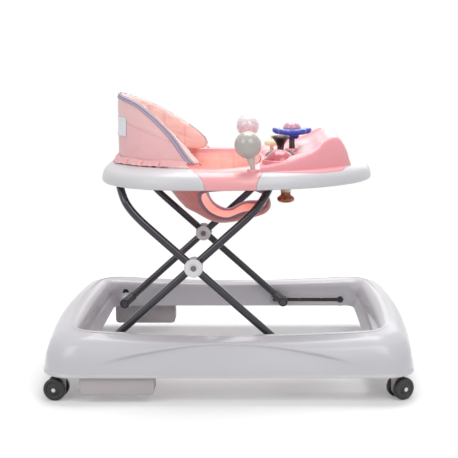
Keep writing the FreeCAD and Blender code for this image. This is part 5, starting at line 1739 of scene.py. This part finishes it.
# ---------------------------------------------------------------- hem, sling and lining
SLING_ROWS = ((427.2, -45.0, 139.0, 104.0, 194.0), (420.0, -45.0, 137.0, 102.5, 192.0),
              (412.0, -45.0, 131.0, 102.0, 187.0), (403.0, -45.0, 114.0, 101.5, 174.0),
              (393.0, -44.0, 97.0, 101.0, 161.0), (372.0, -34.0, 92.0, 98.0, 137.0),
              (350.0, -22.0, 89.0, 99.0, 110.0), (332.0, -13.0, 84.0, 95.0, 84.0),
              (317.0, -9.0, 62.0, 82.0, 67.0), (307.0, -12.0, 42.0, 52.0, 54.0),
              (300.0, -16.0, 24.0, 28.0, 34.0), (296.0, -18.0, 9.0, 10.0, 14.0), (295.0, -18.0, 0.4, 0.4, 0.4))
LEG_HOLE = ((-56.0, 372.0), (-57.0, 358.0), (-52.0, 342.0), (-42.0, 327.0), (-27.0, 317.5), (-10.0, 312.5),
            (4.0, 316.0), (17.0, 323.0), (34.0, 328.0), (54.0, 329.0), (69.0, 334.0), (75.0, 345.0), (70.0, 358.0),
            (60.0, 366.0), (48.0, 374.0), (30.0, 379.0), (-10.0, 381.0), (-44.0, 379.0))


# across the leg hole's edge, into the cloth and out of its face
TAPE_SECTION = ((5, 1.4), (3, 1.9), (0.6, 2.1), (-1.6, 1.4), (-2.2, 0), (-1.6, -1.4), (0.6, -2.3), (3, -2.3),
                (5, -1.9), (5.5, 0))


def sling_outline(z):
    """(middle, rear, front, half width) of the sling at heights between the first and last rows."""
    z = np.asarray(z, float)
    return [between([(row[0], row[k]) for row in reversed(SLING_ROWS)], z) for k in (1, 2, 3, 4)]


class WALKER_OT_seat_sling(bpy.types.Operator):
    """Build the seat sling with its lining, gathers and bound leg holes"""
    bl_idname = "walker.seat_sling"
    bl_label = "Seat sling"

    def execute(self, context):
        given = settings("seat")
        outer = cloth("sling_cloth", given.sling, srgb(188, 86, 82), threads=900, crease=0.5)
        lining = cloth("sling_lining", srgb(250, 178, 166), srgb(234, 130, 118), threads=900, crease=0.5)
        band = cloth("elastic_band", srgb(250, 188, 186), srgb(236, 150, 148), threads=1500, crease=0.3)
        heights = np.concatenate([np.linspace(427.2, 396, 22), np.linspace(393, 332, 30), np.linspace(330, 302, 18),
                                  [300, 298.4, 297.2, 296.3, 295.6, 295.2, 295.0]])
        turn = np.linspace(0, 2 * math.pi, 337)[:-1]
        rng = np.random.default_rng(5)
        phase = rng.uniform(0, 6.28, 8)
        rows = []
        for z in heights:
            mid, rear, front, half = (float(v) for v in sling_outline(z))
            x, y = egg(turn, mid, rear, front, half, 2.5, 2.5)
            gather = float(ease(424, 405, z)) * (1 - 0.75 * float(ease(400, 345, z)))
            fine = (np.sin(31 * turn + phase[0] + 1.4 * np.sin(3 * turn)) + 0.7 * np.sin(47 * turn + phase[1])
                    + 0.6 * np.sin(19 * turn + phase[2] - 0.02 * z)) / 2.3
            slow = np.sin(5 * turn + phase[3] + 0.03 * z) + 0.6 * np.sin(9 * turn + phase[4] - 0.05 * z)
            away = 1 - 0.9 * float(ease(330, 305, z))
            inward = (1.4 + 1.4 * fine) * gather + (0.7 + 0.7 * slow) * away * (1 - float(ease(405, 424, z)))
            size_of = np.maximum(np.hypot(x - mid, y), 1.0)
            x = x - (x - mid) / size_of * inward
            y = y - y / size_of * inward
            sag = 0.9 * np.sin(3 * turn + phase[5]) * float(ease(400, 360, z)) * away
            rows.append(np.stack([x, y, z + sag], 1))
        sling = grid("seat_sling_cloth", rows, outer, along=True, crease=None, outward=False)
        filled(sling, lambda edge: all(v.co.z < 310 * MM for v in edge.verts), outward=False)
        side = next(p for p in sling.data.polygons if p.center.x > 0.04 and p.center.z > 0.36)
        if side.normal.x < 0:
            sling.data.flip_normals()
        for material in (lining, band):
            sling.data.materials.append(material)
        thick(sling, 1.5 * MM, inside=1)
        outline = curve(list(LEG_HOLE) + [LEG_HOLE[0]], 5)[:-1]
        outline = [(x, 0, z) for x, z in outline]
        cutters = [closed_prism("leg_hole", outline + outline[:1], *sorted((way * 44.0, way * 230.0)))
                   for way in (-1, 1)]
        self.path = [(x, z) for x, _, z in outline]
        without(sling, cutters)
        for face in sling.data.polygons:
            if face.material_index == 1 and face.center.z > 0.4145:
                face.material_index = 2
        sharpened(sling, 60)
        settle(sling, "tray", "sling_fabric", "seat_sling")
        self.bind(sling, given)
        return {"FINISHED"}

    def bind(self, sling, given):
        """Tape folded over the edges of the leg holes, with a row of stitches."""
        tape = cloth("leg_binding", given.dark_binding, srgb(116, 86, 104), threads=1500, sheen=0.2, crease=0.35)
        for way, name in ((-1, "right"), (1, "left")):
            tree = surface_of(sling)
            path = []
            for x, z in self.path:
                mid, rear, front, half = (float(v) for v in sling_outline(z))
                reach = front if x > mid else rear
                share = abs(x - mid) / reach
                wide = half * max(0.0, 1 - share ** 2.5) ** 0.4 if share < 1 else 0.0
                if wide < 44.0:
                    wide = 44.0
                    x = mid + math.copysign(reach * max(0.0, 1 - (44.0 / half) ** 2.5) ** 0.4, x - mid)
                place, _, _, _ = tree.find_nearest(Vector((x * MM, way * (wide - 1.0) * MM, z * MM)))
                path.append(np.array(place) / MM)
            path = np.array(path)
            for _ in range(5):
                path = (np.roll(path, 1, 0) + 2 * path + np.roll(path, -1, 0)) / 4
            middle_of = path.mean(0)
            rows = []
            for i, point in enumerate(path):
                along = Vector(path[(i + 1) % len(path)] - path[i - 1]).normalized()
                away = Vector(point - middle_of)
                away = (away - along * away.dot(along)).normalized()
                probe = Vector(point * MM) + away * 6 * MM
                _, face, _, _ = tree.find_nearest(probe)
                face = (face - along * face.dot(along)).normalized()
                if face.dot(Vector((0, way, -0.4))) < 0:
                    face = -face
                into = along.cross(face).normalized()
                if into.dot(away) < 0:
                    into = -into
                row = []
                for u, v in TAPE_SECTION:
                    row.append(point + np.array(into) * u + np.array(face) * v)
                rows.append(row)
            edge = grid("leg_binding_" + name, rows, tape, across=True, along=True, crease=70)
            settle(edge, "tray", "sling_fabric")
            line = [tuple(row[0] * 0.75 + row[1] * 0.25 + (row[0] - row[8]) * 0.12) for row in rows]
            stitched("leg_stitches_" + name, [line + line[:1]], "tray", "sling_fabric", srgb(150, 120, 124))


class WALKER_OT_hem(bpy.types.Operator):
    """Build the gathered hem round the foot of the seat back and the lining's end tabs"""
    bl_idname = "walker.hem"
    bl_label = "Gathered hem"

    def execute(self, context):
        given = settings("seat")
        outer = cloth("hem_cloth", given.cover, srgb(240, 156, 154), threads=900, crease=0.4)
        # A darker copy of the hem cloth: it lines the hem's inner side and is also painted shade in the ruffle's
        # dips.
        deep = cloth("hem_inside", srgb(240, 150, 142), srgb(214, 106, 100), threads=900, crease=0.5)
        turn = np.linspace(math.radians(93), math.radians(267), 560)
        rng = np.random.default_rng(23)
        phase = rng.uniform(0, 6.28, 8)
        ruffle = (np.sin(40 * turn + phase[0] + 2.2 * np.sin(5 * turn + phase[1]))
                  + 0.6 * np.sin(67 * turn + phase[2] + 1.5 * np.sin(9 * turn))
                  + 0.5 * np.sin(21 * turn + phase[3])) / 2.1
        droop = 0.5 + 0.5 * np.sin(13 * turn + phase[4] + 1.1 * np.sin(4 * turn + phase[5]))
        back_x, back_y = back_outline(turn, 1.5)
        reach = 6.6 + 1.4 * np.cos(turn) ** 2 + 2.4 * droop
        far_x, far_y = back_outline(turn)
        way_x, way_y = far_x - BACK_MID_X, far_y
        size_of = np.hypot(way_x, way_y)
        ends = ease(0, 0.12, turn - turn[0]) * ease(0, 0.12, turn[-1] - turn)
        far_x, far_y = (far_x + way_x / size_of * reach * (0.35 + 0.65 * ends),
                        far_y + way_y / size_of * reach * (0.35 + 0.65 * ends))
        rows = []
        for share in np.linspace(0, 1, 15):
            x = back_x + (far_x - back_x) * share
            y = back_y + (far_y - back_y) * share
            ground = np.maximum(tray_height(x, y), 0) + 1.4
            top = 443.0 - 3.0 * droop
            z = top + (ground - top) * float(ease(0, 0.9, share)) ** 0.8
            swing = ruffle * math.sin(math.pi * share ** 0.8) * 1.9 + ruffle * share * 0.9
            x, y = x + way_x / size_of * swing, y + way_y / size_of * swing
            z = z + 1.0 * (1 + ruffle) * share
            rows.append(np.stack([x, y, np.maximum(z, tray_height(x, y) + 1.2)], 1))
        hem = grid("gathered_hem", rows, outer, crease=None, outward=False)
        rear_face = min(hem.data.polygons, key=lambda face: face.center.x)
        if rear_face.normal.x > 0:
            hem.data.flip_normals()
        hem.data.materials.append(deep)
        thick(hem, 0.9 * MM, inside=1)
        for face in hem.data.polygons:
            x, y, z = face.center / MM
            place = math.atan2(math.copysign(abs(y / BACK_HALF_Y) ** 1.15, y), math.copysign(
                abs((x - BACK_MID_X) / BACK_REAR) ** 1.15, x - BACK_MID_X)) % (2 * math.pi)
            at = np.interp(place, turn, ruffle)
            # Faces deep in the ruffle's dips take the darker cloth: painted shade.
            if at < -0.78 and z < 437:
                face.material_index = 1
        settle(hem, "tray", "seat_fabric")
        self.flap(given)
        self.tabs()
        return {"FINISHED"}

    def flap(self, given):
        """The lining from the foot of the pad over the deck and down into the seat opening."""
        lining = cloth("seat_lining", given.lining, srgb(255, 188, 178), threads=900, crease=0.4)
        turn = np.linspace(math.radians(98), math.radians(262), 200)
        foot = back_point(turn, 13.0, np.full(turn.shape, 434.0))
        rows = []
        for share, grow, z in ((0, 0, 434.0), (0.25, 0, 431.6), (0.55, 0, 430.8), (0.9, 0.0, 430.6), (1, 0.6, 430.2),
                               (1, -1.2, 428.4), (1, -1.8, 424.0), (1, -1.9, 419.0)):
            lip = np.stack([*hole_outline(turn, grow), np.full(turn.shape, z)], 1)
            row = foot + (lip - foot) * share
            row[:, 2] = z + 0.5 * np.sin(turn * 34) * math.sin(math.pi * share)
            rows.append(row)
        flap = grid("lining_flap", rows, lining, crease=None, outward=False)
        if flap.data.polygons[len(flap.data.polygons) // 3].normal.z < 0:
            flap.data.flip_normals()
        thick(flap, 0.8 * MM)
        settle(flap, "tray", "seat_fabric")

    def tabs(self):
        """A small looped tab at the front foot of each wing."""
        tape = cloth("tab_tape", srgb(236, 196, 196), srgb(196, 140, 150), threads=1500, crease=0.3)
        loops = []
        for way in (-1, 1):
            rows = []
            for share in np.linspace(0, 1, 26):
                a = math.pi * share
                x, z = -62.0 + 9.0 * math.cos(a), 431.5 + 5.5 * math.sin(a)
                rows.append([(x + 0.6 * w, way * (170.0 + w), z) for w in (-4, -2, 0, 2, 4)])
            strip = grid("tab", rows, tape, crease=None, outward=False)
            loops.append(thick(strip, 1.0 * MM, side=0.0))
        settle(joined("wing_tabs", loops), "tray", "seat_fabric")


# ---------------------------------------------------------------- stage
CAMERA_DIP = 9.756  # degrees below level


class WALKER_OT_stage(bpy.types.Operator):
    """Build the camera, the lamps, the world and the floor"""
    bl_idname = "walker.stage"
    bl_label = "Stage"

    def execute(self, context):
        given = settings("stage")
        scene = context.scene
        lens = bpy.data.cameras.new("camera")
        lens.sensor_width = 36
        lens.lens = 86.9
        lens.shift_x = -0.06332
        lens.clip_end = 50
        camera = bpy.data.objects.new("camera", lens)
        camera.location = (0.055, -given.distance, given.height)
        camera.rotation_euler = (math.radians(90 - CAMERA_DIP), 0, 0)
        scene.collection.objects.link(camera)
        scene.camera = camera
        self.lamps(scene)
        self.world(scene)
        self.floor(given)
        scene.view_settings.view_transform = "Standard"
        return {"FINISHED"}

    def lamps(self, scene):
        for name, place, aim, wide, power in (
                ("softbox_key", (0.9, -1.7, 1.9), (0.0, 0.0, 0.4), 1.3, 16.5),
                ("softbox_fill", (-1.4, -1.5, 1.7), (-0.1, 0.0, 0.45), 1.3, 12.5),
                ("softbox_top", (0.1, 0.5, 2.3), (0.0, 0.0, 0.3), 1.5, 34.0),
                ("softbox_back", (0.6, 2.1, 1.3), (0.0, 0.0, 0.3), 1.4, 7.0)):
            lamp = bpy.data.lights.new(name, "AREA")
            lamp.shape = "SQUARE"
            lamp.size = wide
            lamp.energy = power
            item = bpy.data.objects.new(name, lamp)
            item.location = place
            item.rotation_euler = (Vector(aim) - Vector(place)).to_track_quat("-Z", "Y").to_euler()
            scene.collection.objects.link(item)

    def world(self, scene):
        """White to the camera, gloss and glass; a plain level on the object."""
        world = scene.world or bpy.data.worlds.new("studio")
        scene.world = world
        world.use_nodes = True
        tree = world.node_tree
        back = tree.nodes["Background"]
        seen = seen_directly(tree)
        strength = maths(tree, "ADD", 0.38, maths(tree, "MULTIPLY", seen, 0.62))
        back.inputs["Color"].default_value = (1, 1, 1, 1)
        tree.links.new(strength, back.inputs["Strength"])

    def floor(self, given):
        """A pale sweep of floor that keeps the shadow."""
        rows = [[(x, y, 0.0) for x in (-6000, 6000)] for y in (-6000, 6000)]
        plain, tree, shader, place = empty_material("studio_floor")
        grained = effect(tree, "mould_grain", place, Fineness=60.0)
        tone = mixed(tree, grained.outputs["Tone"], shade(given.floor, 0.99), shade(given.floor, 1.0))
        away = put(tree, "ShaderNodeVectorMath", {0: place}, operation="LENGTH").outputs["Value"]
        far = put(tree, "ShaderNodeMapRange", {"Value": away, "From Min": 0.65, "From Max": 1.7},
                  interpolation_type="SMOOTHSTEP").outputs["Result"]
        seen = seen_directly(tree)
        lit = mixed(tree, maths(tree, "MULTIPLY", far, seen), tone, (0, 0, 0, 1))
        tree.links.new(lit, shader.inputs["Base Color"])
        glow = maths(tree, "ADD", 0.2, maths(tree, "MULTIPLY", far, 0.8))
        tree.links.new(maths(tree, "MULTIPLY", seen, glow), shader.inputs["Emission Strength"])
        constants(shader, Emission_Color=(1, 1, 1, 1), Roughness=1.0, Specular_IOR_Level=0.0)
        floor = grid("studio_floor", rows, plain, crease=None, outward=False)
        if floor.data.polygons[0].normal.z < 0:
            floor.data.flip_normals()


class WALKER_PT_parts(bpy.types.Panel):
    """The walker's pieces, in the order in which they are built"""
    bl_idname = "WALKER_PT_parts"
    bl_label = "Baby walker"
    bl_space_type = "VIEW_3D"
    bl_region_type = "UI"
    bl_category = "Walker"

    def draw(self, context):
        for group in GROUPS:
            box = self.layout.box()
            given = getattr(context.scene, group)
            for key in given.bl_rna.properties.keys():
                if key not in ("rna_type", "name"):
                    box.prop(given, key)
        for operator in OPERATORS:
            self.layout.operator(operator.bl_idname)


GROUPS = {"walker_base": WalkerBase, "walker_legs": WalkerLegs, "walker_tray": WalkerTray,
          "walker_toys": WalkerToys, "walker_seat": WalkerSeat, "walker_stage": WalkerStage}
OPERATORS = (WALKER_OT_stage, WALKER_OT_base_ring, WALKER_OT_stoppers, WALKER_OT_casters, WALKER_OT_legs,
             WALKER_OT_tray, WALKER_OT_console, WALKER_OT_toys, WALKER_OT_seat_back, WALKER_OT_seat_sling,
             WALKER_OT_hem)


def register():
    for name, group in GROUPS.items():
        bpy.utils.register_class(group)
        setattr(bpy.types.Scene, name, bpy.props.PointerProperty(type=group))
    for item in OPERATORS + (WALKER_PT_parts,):
        bpy.utils.register_class(item)


def unregister():
    for item in reversed(OPERATORS + (WALKER_PT_parts,)):
        bpy.utils.unregister_class(item)
    for name, group in reversed(list(GROUPS.items())):
        delattr(bpy.types.Scene, name)
        bpy.utils.unregister_class(group)


def main():
    register()
    for item in OPERATORS:
        space, name = item.bl_idname.split(".")
        getattr(getattr(bpy.ops, space), name)()


if __name__ == "__main__":
    main()
